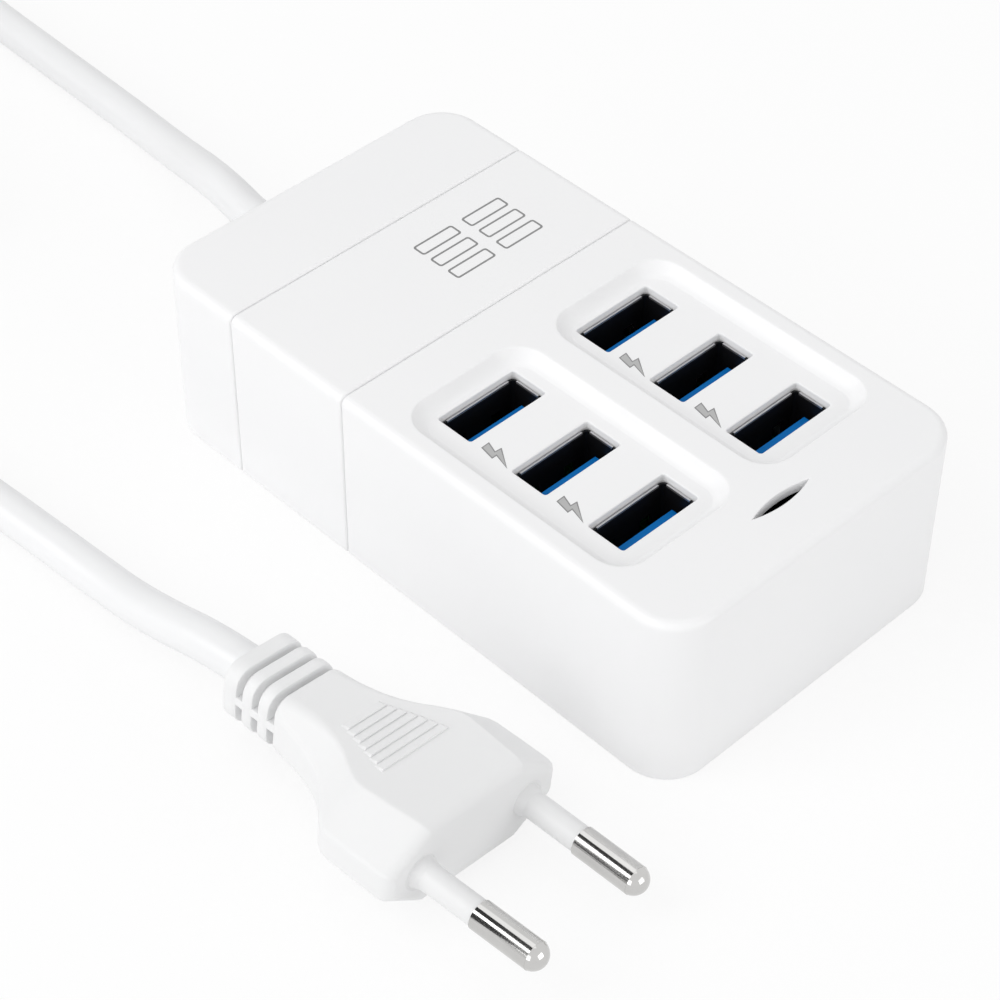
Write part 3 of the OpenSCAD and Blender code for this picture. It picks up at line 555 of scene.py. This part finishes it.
def rounded_outline(cx, cy, half_w, half_l, radius, steps=6, support=0.3):
    """A rounded rectangle with an extra point beside each end of its corners."""
    points = []
    for quarter, (sx, sy) in enumerate(((1, 1), (-1, 1), (-1, -1), (1, -1))):
        start = 90 * quarter
        corner = arc(cx + sx * (half_w - radius), cy + sy * (half_l - radius), radius,
                     start, start + 90, steps)
        before = Vector((math.sin(math.radians(start)), -math.cos(math.radians(start)))) * support
        after = Vector((-math.cos(math.radians(start)), -math.sin(math.radians(start)))) * support
        points.append((corner[0][0] + before.x, corner[0][1] + before.y))
        points.extend(corner)
        points.append((corner[-1][0] + after.x, corner[-1][1] + after.y))
    return points


def at_height(points, z):
    return [(x, y, z) for x, y in points]


def turned(shape, centre, radii_and_heights, steps=32):
    """A turned solid on an upright axis, from (radius, height) pairs, closed at both ends."""
    x, y = centre
    rings = stack(shape, [at_height(arc(x, y, radius, 0, 360, steps)[:-1], z)
                          for radius, z in radii_and_heights])
    shape.faces.new(rings[0])
    shape.faces.new(rings[-1])


# Housing sections


def section_path(seam, inset=0.0, seam_inset=0.0, inner=False):
    """The plan of an end section with its seam at +y, from its right end round the front."""
    half = BODY_W / 2 - inset
    end = -BODY_L / 2 + inset
    radius = CORNER_R - inset
    top = seam - seam_inset
    if inner:
        start = [(half, top - SEAM_R * k / 3) for k in range(4)]
    else:
        start = arc(half - SEAM_R, top - SEAM_R, SEAM_R, 90, 0, 3)
    right = start + [(half, top - SEAM_R - 0.4), (half, end + radius + 0.5)]
    right += arc(half - radius, end + radius, radius, 0, -90, 12)
    right += [(half - radius - 0.5, end)]
    left = [(-x, y) for x, y in reversed(right)]
    return right + left


def section_levels():
    """(height, inset, seam inset) from the flat top down to the lowest closed ring."""
    levels = [(BODY_H, EDGE_R + SUPPORT, SEAM_R + SUPPORT)]
    for angle in (90, 75, 60, 45, 30, 15, 0):
        t = math.radians(angle)
        z = BODY_H - EDGE_R + EDGE_R * math.sin(t)
        over = max(0.0, z - (BODY_H - SEAM_R))
        seam_inset = SEAM_R - math.sqrt(max(0.0, SEAM_R ** 2 - over ** 2))
        levels.append((z, EDGE_R - EDGE_R * math.cos(t), seam_inset))
    levels.append((BODY_H - EDGE_R - SUPPORT, 0.0, 0.0))
    levels.append((BODY_H - WALL, 0.0, 0.0))
    return levels


def foot_levels():
    """(height, inset) from above the foot's rounding down to the underside."""
    midway = FOOT_R * (1 - math.sin(math.pi / 4))
    return [(FOOT_R + SUPPORT, 0.0), (FOOT_R, 0.0), (midway, midway), (0.0, FOOT_R)]


def draw_section(seam, flip):
    """An end section as a shell, open at its seam: the drawing, its top and its ceiling loop."""
    shape = bmesh.new()

    def place(points, z):
        return [(x, -y if flip else y, z) for x, y in points]

    inner_half = BODY_W / 2 - WALL
    closed = []
    for z, inset, seam_inset in section_levels():
        path = section_path(seam, inset, seam_inset)
        ends = [(-inner_half, seam - seam_inset), (inner_half, seam - seam_inset)]
        closed.append(add_loop(shape, place(path + ends, z)))
    for first, second in zip(closed, closed[1:]):
        bridge(shape, first, second)
    last = closed[-1]
    inner_path = section_path(seam, WALL, 0.0, inner=True)
    inner_top = add_loop(shape, place(inner_path[1:-1], BODY_H - WALL))
    inner_top = [last[-1]] + inner_top + [last[-2]]
    outer, inner = last[:-2], inner_top
    for z, inset in foot_levels():
        lower_outer = add_loop(shape, place(section_path(seam, inset, 0.0), z))
        lower_inner = add_loop(shape, place(inner_path, z))
        bridge(shape, outer, lower_outer, closed=False)
        bridge(shape, inner, lower_inner, closed=False)
        for k in (0, -1):
            shape.faces.new((outer[k], lower_outer[k], lower_inner[k], inner[k]))
        outer, inner = lower_outer, lower_inner
    bridge(shape, outer, inner, closed=False)
    return shape, closed[0], inner_top


def bay_loops(cx):
    """A bay's wall as outlines from the flat top down its soft lip to the floor."""
    loops = [(-0.4, BODY_H), (-0.16, BODY_H), (-0.04, BODY_H - 0.03), (0.05, BODY_H - 0.1)]
    for t in (0.1, 0.2, 0.35, 0.5, 0.65, 0.8, 0.9, 0.96):
        hollow = 0.35 * t + 0.65 * (1 - (1 - t) ** 2)
        loops.append((t * BAY_SLOPE, BODY_H - BAY_DEPTH * hollow))
    loops += [(BAY_SLOPE, BAY_FLOOR), (BAY_SLOPE + SUPPORT, BAY_FLOOR)]
    return [at_height(rounded_outline(cx, BAY_Y, BAY_W / 2 - d, BAY_L / 2 - d,
                                      BAY_R - 0.95 * d, 8), z) for d, z in loops]


def slot_loops(x, y):
    """A port's slot from the bay's floor, over its rounded edge, to the underside of the pan."""
    loops = [(SLOT_ROUND + 0.05, BAY_FLOOR)]
    for angle in (0, 30, 60, 90):
        t = math.radians(angle)
        loops.append((SLOT_ROUND * (1 - math.sin(t)), BAY_FLOOR - SLOT_ROUND * (1 - math.cos(t))))
    loops.append((0.0, PAN_Z))
    return [at_height(rounded_outline(x, y, SLOT_W / 2 + d, SLOT_T / 2 + d, 0.4 + d, 4, 0.15), z)
            for d, z in loops]


def window_outline(length, width, steps=16):
    """Two arcs that meet in a point at either end."""
    radius = (length ** 2 + width ** 2) / (4 * width)
    reach = math.degrees(math.asin(length / 2 / radius))
    rise = radius - width / 2
    front = arc(0, WINDOW_Y + rise, radius, -90 - reach, -90 + reach, steps)[:-1]
    back = arc(0, WINDOW_Y - rise, radius, 90 - reach, 90 + reach, steps)[:-1]
    return front + back


def window_loops():
    loops = [(WINDOW_L + 1.2, WINDOW_W + 0.6, BODY_H), (WINDOW_L + 0.6, WINDOW_W + 0.3, BODY_H),
             (WINDOW_L + 0.2, WINDOW_W + 0.1, BODY_H - 0.05), (WINDOW_L, WINDOW_W, BODY_H - 0.18),
             (WINDOW_L, WINDOW_W, BODY_H - WINDOW_T)]
    return [at_height(window_outline(length, width), z) for length, width, z in loops]


def add_posts(shape, y):
    """An end section's two screw posts, from the base cover up into its ceiling."""
    for side in (-1, 1):
        turned(shape, (side * POST_X, y), ((POST_R, BASE_T), (POST_R, BODY_H - WALL + BURIED)))


def make_front_housing():
    """The front section with its two bays, six slots, window, posts and board hangers."""
    seam = BAND_Y0 - SEAM_SHOWN / 2
    shape, top, ceiling = draw_section(seam, flip=False)
    bays = [stack(shape, bay_loops(side * BAY_X)) for side in (-1, 1)]
    window = stack(shape, window_loops())
    fill_flat(shape, top, bays[0][0], bays[1][0], window[0])
    slots = [stack(shape, slot_loops(x, y)) for x, y in PORTS]
    for k, bay in enumerate(bays):
        fill_flat(shape, bay[-1], *[slot[0] for slot in slots[3 * k:3 * k + 3]])
    pocket = [at_height(window_outline(WINDOW_L + 4, WINDOW_W + 3), z)
              for z in (BODY_H - WINDOW_T, BODY_H - WALL)]
    pocket = stack(shape, pocket)
    fill_flat(shape, pocket[0], window[-1])
    pan_half = BAY_X + BAY_W / 2 - BAY_SLOPE + 1
    pan_reach = BAY_L / 2 - BAY_SLOPE + 1.5
    pan = stack(shape, [at_height(rounded_outline(0, BAY_Y, pan_half, pan_reach, 0.6, 3), z)
                        for z in (BODY_H - WALL, PAN_Z)])
    fill_flat(shape, ceiling, pan[0], pocket[1])
    fill_flat(shape, pan[1], *[slot[-1] for slot in slots])
    add_posts(shape, POST_FRONT_Y)
    for y in HANGER_YS:
        turned(shape, (0, y), ((HANGER_R, BOARD_TOP), (HANGER_R, PAN_Z + BURIED)), 24)
    piece = make_piece("front_shell", shape, HOUSING_WHITE)
    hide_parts("front_housing")
    return piece


def make_rear_housing():
    """The rear section with its posts and the outlet for the lead."""
    seam = -(BAND_Y1 + SEAM_SHOWN / 2)
    shape, top, ceiling = draw_section(seam, flip=True)
    fill_flat(shape, top)
    fill_flat(shape, ceiling)
    piece = make_piece("rear_shell", shape, HOUSING_WHITE)
    posts = bmesh.new()
    add_posts(posts, POST_REAR_Y)
    cut_outlet(piece)
    join_drawing(piece, posts)
    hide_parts("rear_housing")
    return piece


def cut_outlet(piece):
    """Bores the lead's outlet through the rear wall; a flat cutter keeps its rim crisp."""
    shape = bmesh.new()
    bore, reach = RELIEF_NECK + 0.1, WALL + 1
    turned(shape, (0, 0), ((bore, -reach), (bore, reach)), 48)
    set_down(shape, Matrix.Rotation(math.pi / 2, 3, "X"), (0, REAR_Y - WALL / 2, OUTLET_Z))
    cutter = add_object("outlet_cutter", drawn_mesh("outlet_cutter", shape))
    cut = piece.modifiers.new("outlet", "BOOLEAN")
    cut.operation = "DIFFERENCE"
    cut.solver = "EXACT"
    cut.object = cutter
    bpy.context.view_layer.update()
    done = piece.evaluated_get(bpy.context.evaluated_depsgraph_get())
    result = bpy.data.meshes.new_from_object(done)
    piece.modifiers.clear()
    piece.data = result
    bpy.data.objects.remove(cutter)


def join_drawing(piece, shape):
    """Adds a second drawing in millimetres to a piece's mesh."""
    extra = smooth_mesh("extra", shape)
    both = bmesh.new()
    both.from_mesh(piece.data)
    both.from_mesh(extra)
    both.to_mesh(piece.data)
    both.free()
    bpy.data.meshes.remove(extra)


def arch_profile(half, height, radius, foot, foot_r, steps=6):
    """Half way round a section through the band: up one wall, over the top and down the other."""
    side = [(half - foot_r, foot), (half - 0.29 * foot_r, foot + 0.29 * foot_r),
            (half, foot + foot_r), (half, foot + foot_r + SUPPORT),
            (half, height - radius - SUPPORT)]
    side += arc(half - radius, height - radius, radius, 0, 90, steps)
    side += [(half - radius - SUPPORT, height)]
    return side + [(-x, z) for x, z in reversed(side)]


def draw_arch(shape, y_values, outer, inner, insets):
    """A bridge shaped solid along y, its outer skin drawn in by an inset at each ring."""
    rings = []
    for y, inset in zip(y_values, insets):
        half, height, radius, foot, foot_r = outer
        skin = arch_profile(half - inset, height - inset, radius - inset, foot, foot_r)
        core = arch_profile(*inner)
        rings.append((add_loop(shape, [(x, y, z) for x, z in skin]),
                      add_loop(shape, [(x, y, z) for x, z in core])))
    for (skin_a, core_a), (skin_b, core_b) in zip(rings, rings[1:]):
        bridge(shape, skin_a, skin_b, closed=False)
        bridge(shape, core_a, core_b, closed=False)
        for k in (0, -1):
            shape.faces.new((skin_a[k], skin_b[k], core_b[k], core_a[k]))
    for skin, core in (rings[0], rings[-1]):
        bridge(shape, skin, core, closed=False)


def make_centre_band():
    """The plain band with its rounded seam edges, and the lips that reach under its neighbours."""
    shape = bmesh.new()
    y0, y1 = BAND_Y0 + SEAM_SHOWN / 2, BAND_Y1 - SEAM_SHOWN / 2
    rounding = [(SEAM_R * (1 - math.cos(a)), SEAM_R * (1 - math.sin(a)))
                for a in (math.radians(d) for d in (0, 30, 60, 90))]
    near = [(y0 + along, inset) for along, inset in rounding] + [(y0 + SEAM_R + SUPPORT, 0.0)]
    far = [(y1 - along, inset) for along, inset in reversed(rounding)]
    far = [(y1 - SEAM_R - SUPPORT, 0.0)] + far
    rings = near + far
    half = BODY_W / 2
    outer = (half, BODY_H, EDGE_R, 0.0, FOOT_R)
    inner = (half - WALL - 0.1, BODY_H - WALL - 0.1, 0.5, 0.0, FOOT_R)
    draw_arch(shape, [y for y, _ in rings], outer, inner, [inset for _, inset in rings])
    reach = WALL + 0.1
    lip_out = (half - reach, BODY_H - reach, 0.5, BASE_T, 0.1)
    lip_in = (half - reach - LIP_T, BODY_H - reach - LIP_T, 0.3, BASE_T, 0.1)
    draw_arch(shape, [BAND_Y0 - LIP_REACH, BAND_Y1 + LIP_REACH], lip_out, lip_in, [0.0, 0.0])
    piece = make_piece("band_shell", shape, HOUSING_WHITE)
    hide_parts("centre_band")
    return piece


# The lead

UPPER_ROUTE = [
    (0, 56.25, 14), (0.3, 61.25, 14), (1.7, 68, 13.4), (3.6, 75, 11.6), (5.9, 82, 8.8),
    (8.2, 89, 6), (10, 96, 4), (11, 103, 3.1), (11.35, 112, 3.05), (11.7, 124, 3.05),
    (12.05, 136, 3.05), (12.3, 147, 3.05), (11.7, 153.5, 3.05), (9.6, 159.5, 3.05),
    (5.8, 164.7, 3.05), (0.8, 168.6, 3.05), (-5.2, 170.9, 3.05), (-12, 171.7, 3.05),
    (-26, 171.7, 3.05), (-40, 171.7, 3.05)]
LOWER_ROUTE = [
    (-89.7, 125, 9), (-89.6, 113, 9), (-88.7, 106, 8.4), (-86.4, 99, 7.1), (-82.2, 92.6, 5.7),
    (-77, 87, 4.4), (-71.6, 81.6, 3.5), (-66.8, 76, 3.1), (-62.2, 69.6, 3.05),
    (-59.2, 62.6, 3.05), (-57.6, 55, 3.05), (-56.9, 47, 3.05), (-56.3, 38, 3.05),
    (-55.8, 28, 3.2), (-55.7, 20, 4), (-55.4, 13, 5.3), (-54.8, 5, 6.9)]


def plug_point(x, y, z):
    """A point given from the plug's face, in the charger's own axes."""
    return tuple(Vector(PLUG_PLACE) + PLUG_LIE @ Vector((x, y, z)))


def ease(t):
    """0 before 0, 1 after 1 and an even rise between them."""
    t = min(1.0, max(0.0, t))
    return t * t * (3 - 2 * t)


def coil_points():
    """The wound turns: inwards along the bottom layer, up, and outwards along the top one."""
    low, high = STRAP_T + CORD_D / 2, STRAP_T + 1.5 * CORD_D
    inner, middle, outer = COIL_RADII
    stops = [(outer, low), (middle, low), (inner, low),
             (inner, high), (middle, high), (outer, high)]
    points = []
    for k in range(round(COIL_TURNS * COIL_STEPS) + 1):
        turn = k / COIL_STEPS
        stop = min(int(turn), len(stops) - 1)
        step = ease((turn - stop - 0.72) / 0.25) if stop < len(stops) - 1 else 0.0
        r0, z0 = stops[stop]
        r1, z1 = stops[min(stop + 1, len(stops) - 1)]
        dip = 2.5 * math.sin(math.pi * step) if z1 > z0 else 0.0
        angle = math.radians(90 + 360 * turn)
        radius = r0 + (r1 - r0) * step - dip
        points.append((COIL_CENTRE[0] + radius * math.cos(angle),
                       COIL_CENTRE[1] + radius * math.sin(angle), z0 + (z1 - z0) * step))
    return points


def make_cord():
    """The whole lead as one curve, from the strain relief through the coil to the plug."""
    tail = [plug_point(0, PLUG_L - 1, 0), plug_point(0, PLUG_L - 4, 0)]
    points = UPPER_ROUTE + coil_points() + LOWER_ROUTE + tail
    curve = bpy.data.curves.new("mains_lead", "CURVE")
    curve.dimensions = "3D"
    curve.bevel_depth = (CORD_D / 2 - 0.06) * MM
    curve.bevel_resolution = 6
    curve.resolution_u = 6
    curve.use_fill_caps = True
    spline = curve.splines.new("BEZIER")
    spline.bezier_points.add(len(points) - 1)
    for knot, point in zip(spline.bezier_points, points):
        knot.co = Vector(point) * MM
        knot.handle_left_type = "AUTO"
        knot.handle_right_type = "AUTO"
    curve.materials.append(CORD_WHITE)
    cord = add_object("mains_lead", curve)
    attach(cord, BODY)
    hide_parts("cord_from_housing", "cord_coil", "cord_to_plug")
    return cord


def make_tie():
    """A soft strap round all the turns of the coil."""
    shape = bmesh.new()
    width, thick = STRAP_W, STRAP_T
    high = 2 * (CORD_D + thick)
    inner, outer = COIL_RADII[0] - CORD_D / 2 - thick, COIL_RADII[-1] + CORD_D / 2 + thick
    middle, half = (inner + outer) / 2, (outer - inner) / 2
    edge = 0.25
    rings = []
    for y, inset in ((-width / 2, edge), (-width / 2 + edge, 0), (width / 2 - edge, 0),
                     (width / 2, edge)):
        skin = rounded_outline(middle, high / 2, half - inset, high / 2 - inset, 2.6 - inset, 6)
        core = rounded_outline(middle, high / 2, half - thick + inset, high / 2 - thick + inset,
                               1.8 + inset, 6)
        rings.append((add_loop(shape, [(x, y, z) for x, z in skin]),
                      add_loop(shape, [(x, y, z) for x, z in core])))
    for (skin_a, core_a), (skin_b, core_b) in zip(rings, rings[1:]):
        bridge(shape, skin_a, skin_b)
        bridge(shape, core_a, core_b)
    for skin, core in (rings[0], rings[-1]):
        bridge(shape, skin, core)
    set_down(shape, Matrix.Rotation(STRAP_TURN, 3, "Z"), (*COIL_CENTRE, 0))
    piece = make_piece("coil_strap", shape, TIE_GREY)
    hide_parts("cord_tie")
    return piece


# The plug, drawn with its face at y = 0 and its tail towards +y

HEAD_STATIONS = [
    # (y, half width, half height, half of the top flat, half of the side flat, corner radius)
    (0.0, 13.5, 5.05, 7.7, 1.5, 0.7),
    (0.35, 14.1, 5.7, 8.1, 1.75, 0.7),
    (0.9, 14.55, 6.1, 8.35, 1.95, 0.7),
    (1.7, 14.75, 6.25, 8.45, 2.0, 0.7),
    (6.0, 14.75, 6.25, 8.85, 2.0, 0.7),
    (10.2, 14.7, 6.25, 9.2, 2.0, 0.7),
    (11.4, 14.45, 6.24, 9.15, 2.0, 0.7),
    (12.5, 13.8, 6.2, 8.75, 2.0, 0.75),
    (14.6, 11.7, 6.1, 7.6, 2.0, 0.8),
    (16.4, 10.0, 5.95, 6.5, 2.05, 0.9),
    (18.6, 8.6, 5.75, 5.5, 2.15, 1.0),
    (21.0, 7.6, 5.5, 4.8, 2.3, 1.3),
    (24.0, 6.75, 5.15, 4.35, 2.5, 1.7),
    (27.0, 6.1, 4.75, 4.2, 2.8, 2.0),
    (28.5, 5.8, 4.53, 4.25, 3.0, 2.1),
    (28.8, 5.7, 4.45, 4.2, 2.97, 2.1),
    (28.95, 5.55, 4.3, 4.1, 2.87, 2.0),
    (29.0, 5.35, 4.1, 3.95, 2.7, 1.9)]


def station_at(y):
    """The head's section at a place along it, straight between its stations."""
    for a, b in zip(HEAD_STATIONS, HEAD_STATIONS[1:]):
        if y <= b[0]:
            t = (y - a[0]) / (b[0] - a[0])
            return tuple(u + (v - u) * t for u, v in zip(a, b))
    return HEAD_STATIONS[-1]


def eased_corners(corners, radius, steps=4):
    """A polygon with each corner rounded by an arc that meets both of its sides."""
    points = []
    for i, corner in enumerate(corners):
        here = Vector(corner)
        back = (Vector(corners[i - 1]) - here).normalized()
        on = (Vector(corners[(i + 1) % len(corners)]) - here).normalized()
        half = math.acos(max(-1.0, min(1.0, back.dot(on)))) / 2
        reach = radius / math.tan(half)
        start, end = here + back * reach, here + on * reach
        centre = here + (back + on).normalized() * (radius / math.sin(half))
        first, last = start - centre, end - centre
        sweep = first.angle_signed(last)
        points.append(tuple(start + back * 0.12))
        for k in range(steps + 1):
            turn = Matrix.Rotation(-sweep * k / steps, 2)
            points.append(tuple(centre + turn @ first))
        points.append(tuple(end + on * 0.12))
    return points


def head_section(station):
    """The head's outline at a station: eight sided, with eased corners."""
    y, w, h, flat, side, radius = station
    corners = [(w, -side), (w, side), (flat, h), (-flat, h),
               (-w, side), (-w, -side), (-flat, -h), (flat, -h)]
    return [(x, y, z) for x, z in eased_corners(corners, radius)]


def slab_loops(y0, y1, half_w, half_h, radius, edge=0.3):
    """A rounded bar across the neck with eased edges."""
    loops = []
    for y, inset in ((y0, edge), (y0 + 0.3 * edge, 0.3 * edge), (y0 + edge, 0), (y1 - edge, 0),
                     (y1 - 0.3 * edge, 0.3 * edge), (y1, edge)):
        plan = rounded_outline(0, 0, half_w - inset, half_h - inset, radius - inset, 6)
        loops.append([(x, y, z) for x, z in plan])
    return loops


def closed_stack(shape, loops):
    """A solid from outlines one after the other, closed at both ends."""
    rings = stack(shape, loops)
    shape.faces.new(rings[0])
    shape.faces.new(rings[-1])


def add_grip_slats(shape):
    """Slats across either flat of the head, each with its step towards the pins."""
    for k in range(SLATS):
        y = SLAT_START + SLAT_PITCH * k
        back = y + SLAT_L
        reach = SLAT_REACH - SLAT_TAPER * k
        front, rear = station_at(y)[2], station_at(back)[2]
        for up in (-1, 1):
            loops = []
            for x, rise in ((-reach, 0.02), (-reach + 0.25, SLAT_RISE), (reach - 0.25, SLAT_RISE),
                            (reach, 0.02)):
                profile = [(y, front - 0.3), (y, front + 0.8 * rise), (y + 0.08, front + rise),
                           (back, rear + 0.1 * rise), (back, rear - 0.3)]
                loops.append([(x, py, up * pz) for py, pz in profile])
            closed_stack(shape, loops)


def make_plug():
    """The plug's one moulding: its bevelled head, its grip slats and its slit, ringed neck."""
    shape = bmesh.new()
    closed_stack(shape, [head_section(station) for station in HEAD_STATIONS])
    add_grip_slats(shape)
    core_w, core_h = NECK_W / 2 - 1.5, NECK_H / 2 - 1.5
    closed_stack(shape, slab_loops(NECK_START - 1.5, PLUG_L - 0.4, core_w, core_h, 1.4, 0.1))
    starts = [NECK_START + SLIT + SLIT_PITCH * k for k in range(3)]
    ends = [start + SLIT_PITCH - SLIT for start in starts[:2]] + [PLUG_L]
    for start, end in zip(starts, ends):
        closed_stack(shape, slab_loops(start, end, NECK_W / 2, NECK_H / 2, NECK_R))
    for side in (-1, 1):
        for start in starts:
            link = [(side * (NECK_W / 2 - 1.0) + px, pz) for px, pz in
                    rounded_outline(0, 0, 0.95, 0.65, 0.2, 3, 0.1)]
            closed_stack(shape, [[(x, y, z) for x, z in link]
                                 for y in (start - SLIT - BURIED, start + BURIED)])
    set_down(shape, PLUG_LIE, PLUG_PLACE)
    piece = make_piece("plug_moulding", shape, PLUG_WHITE, 30.0)
    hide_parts("plug_body")
    return piece


# Prints

BOLT_OUTLINE = [(-0.72, 2.3), (0.7, 2.35), (0.1, 0.6), (1.15, 0.5), (-1.05, -2.75), (-0.38, -0.12),
                (-1.15, -0.12)]


def drawn_in(outline, distance):
    """An outline moved inwards by a distance; its points run clockwise."""
    moved = []
    for i, corner in enumerate(outline):
        here = Vector(corner)
        back = (here - Vector(outline[i - 1])).normalized()
        on = (Vector(outline[(i + 1) % len(outline)]) - here).normalized()
        side = Vector((back.y + on.y, -back.x - on.x)).normalized()
        half = max(0.45, side.dot(Vector((on.y, -on.x))))
        moved.append(tuple(here + side * (distance / half)))
    return moved


def make_bolts(name, outline, low, high, material):
    """Small lightning bolts printed between the ports, at their left."""
    shape = bmesh.new()
    for x in BOLT_X:
        for y in BOLT_Y:
            loops = [[(x + px, y + py, BAY_FLOOR + z) for px, py in outline] for z in (low, high)]
            rings = stack(shape, loops)
            fill_flat(shape, rings[0])
            fill_flat(shape, rings[1])
    return make_piece(name, shape, material, 20.0)


def make_port_map():
    """A plain map of the six ports printed on the band: two rows of three rounded frames."""
    shape = bmesh.new()
    for x in MAP_X:
        for row in (-1, 0, 1):
            frames = [rounded_outline(x, MAP_Y + MAP_PITCH * row, w, h, r, 4, 0.05)
                      for w, h, r in MAP_FRAME]
            high = [add_loop(shape, at_height(points, BODY_H + 0.012)) for points in frames]
            low = [add_loop(shape, at_height(points, BODY_H - 0.02)) for points in frames]
            bridge(shape, high[0], high[1])
            bridge(shape, high[0], low[0])
            bridge(shape, high[1], low[1])
    return make_piece("port_map", shape, INK_GREY, 20.0)


front_shell = make_front_housing()
band_shell = make_centre_band()
rear_shell = make_rear_housing()
mains_lead = make_cord()
coil_strap = make_tie()
plug_moulding = make_plug()
port_map = make_port_map()
bolt_edges = make_bolts("bolt_edges", BOLT_OUTLINE, -0.02, 0.012, INK_GREY)
bolt_fields = make_bolts("bolt_fields", drawn_in(BOLT_OUTLINE, INK_LINE), -0.01, 0.018, INK_PALE)

nodes = frame["nodes"]

# Finishes of the pieces that stay as the model has them

NODE_FINISHES = {
    "base_cover": HOUSING_WHITE, "base_screws": SCREW_STEEL, "strain_relief": CORD_WHITE,
    "cord_stub": CORD_WHITE, "wire_live": WIRE_BROWN, "wire_neutral": WIRE_BLUE,
    "main_board": BOARD_GREEN, "port_board": BOARD_GREEN, "board_screws": SCREW_STEEL,
    "port_board_screws": SCREW_STEEL, "link_header": BLACK_MOULDING, "link_pins": CONTACT_GOLD,
    "indicator_led": LENS_CLEAR, "transformer_core": FERRITE, "transformer_winding": TAPE_YELLOW,
    "input_capacitor": CAN_SLEEVE, "output_capacitors": CAN_SLEEVE, "fuse": FUSE_GLASS,
    "bridge_rectifier": BLACK_MOULDING, "safety_capacitor": DISC_BLUE,
    "control_chips": BLACK_MOULDING, "pin_sleeves": SLEEVE_WHITE, "plug_pins": PIN_NICKEL}
for number in range(1, 7):
    NODE_FINISHES[f"usb_shell_{number}"] = PORT_SHEET_PAINTED_SHADE
    NODE_FINISHES[f"usb_tongue_{number}"] = TONGUE_BLUE
    NODE_FINISHES[f"usb_contacts_{number}"] = CONTACT_GOLD

for name, finish in NODE_FINISHES.items():
    mesh = nodes[name].data
    mesh.materials.clear()
    mesh.materials.append(finish)

pin_edge = nodes["plug_pins"].modifiers.new("rolled_edge", "BEVEL")
pin_edge.width = 0.3 * MM
pin_edge.segments = 3
pin_edge.limit_method = "ANGLE"
pin_edge.angle_limit = math.radians(50)

# Floor, backdrop and light


def white_for_the_camera(tree, shader_socket, strength):
    """Mixes a shader with white light that only the camera, mirrors and glass see."""
    path = tree.nodes.new("ShaderNodeLightPath")
    seen = maths(tree.nodes, tree.links, "MAXIMUM", path.outputs["Is Camera Ray"],
                 path.outputs["Is Glossy Ray"])
    seen = maths(tree.nodes, tree.links, "MAXIMUM", seen, path.outputs["Is Transmission Ray"])
    amount = maths(tree.nodes, tree.links, "MULTIPLY", seen, strength)
    glow = tree.nodes.new("ShaderNodeEmission")
    mix = tree.nodes.new("ShaderNodeMixShader")
    tree.links.new(amount, mix.inputs[0])
    tree.links.new(shader_socket, mix.inputs[1])
    tree.links.new(glow.outputs[0], mix.inputs[2])
    return mix.outputs[0]


def flat_sheet(name, width, length, material, height=0.0):
    """A level rectangle about the origin, for the floor and the dark cards."""
    x, y = width / 2, length / 2
    mesh = bpy.data.meshes.new(name)
    mesh.from_pydata([(-x, -y, height), (x, -y, height), (x, y, height), (-x, y, height)],
                     [], [(0, 1, 2, 3)])
    mesh.materials.append(material)
    sheet = add_object(name, mesh)
    return sheet


def aim_at(thing, place, aim):
    """Puts a lamp or a card at its place and turns its face towards what it aims at."""
    thing.location = place
    thing.rotation_mode = "QUATERNION"
    thing.rotation_quaternion = (Vector(aim) - Vector(place)).to_track_quat("-Z", "Y")


def make_floor():
    """White paper just under the charger that keeps its shadow."""
    material, tree, shader = start_material("floor_paper")
    tone = place_group(tree, TONE, Colour=(0.93, 0.93, 0.93, 1), Drift=(0.92, 0.92, 0.92, 1),
                       Amount=0.5, Scale=4.0)
    tree.links.new(tone.outputs["Colour"], shader.inputs["Base Color"])
    shader.inputs["Roughness"].default_value = 0.9
    shader.inputs["Specular IOR Level"].default_value = 0.0
    out = tree.nodes["Material Output"]
    tree.links.new(white_for_the_camera(tree, shader.outputs[0], 0.82), out.inputs["Surface"])
    flat_sheet("floor", 8.0, 8.0, material, -0.00005)


def make_flag(name, place, aim, size):
    """A dark card beside the key light that only shows in bright metal."""
    flag = flat_sheet(name, *size, BLACK_MOULDING)
    aim_at(flag, place, aim)
    flag.visible_diffuse = False
    flag.visible_shadow = False
    flag.visible_camera = False


def make_world(strength):
    """Even white light from all round."""
    world = bpy.data.worlds.new("studio")
    bpy.context.scene.world = world
    world.use_nodes = True
    tree = world.node_tree
    soft = tree.nodes["Background"]
    soft.inputs["Color"].default_value = (1.0, 1.0, 1.0, 1.0)
    soft.inputs["Strength"].default_value = strength
    tree.links.new(white_for_the_camera(tree, soft.outputs[0], 1.0),
                   tree.nodes["World Output"].inputs["Surface"])


def make_softbox(name, place, aim, size, power):
    """A rectangular lamp; size is its width and length in metres."""
    data = bpy.data.lights.new(name, "AREA")
    data.shape = "RECTANGLE"
    data.size, data.size_y = size
    data.energy = power
    aim_at(add_object(name, data), place, aim)


make_floor()
make_world(0.64)
make_softbox("key", (-0.78, 0.42, 0.82), AIM, (0.62, 1.0), 4.6)
make_softbox("overhead", (0.1, 0.3, 1.5), (0, 0, 0), (1.2, 1.2), 1.8)
make_softbox("left_fill", (-1.4, -0.2, 0.5), (0, 0, 0), (1.0, 0.8), 3.7)
make_softbox("front_fill", (0.3, -1.5, 0.5), (0, 0, 0), (1.0, 0.8), 4.7)
make_flag("dark_flag", (-0.25, 0.31, 0.86), AIM, (0.36, 1.0))
make_flag("edge_flag", (-0.93, 0.35, 0.37), AIM, (0.13, 1.0))

bpy.context.scene.view_settings.view_transform = "Standard"
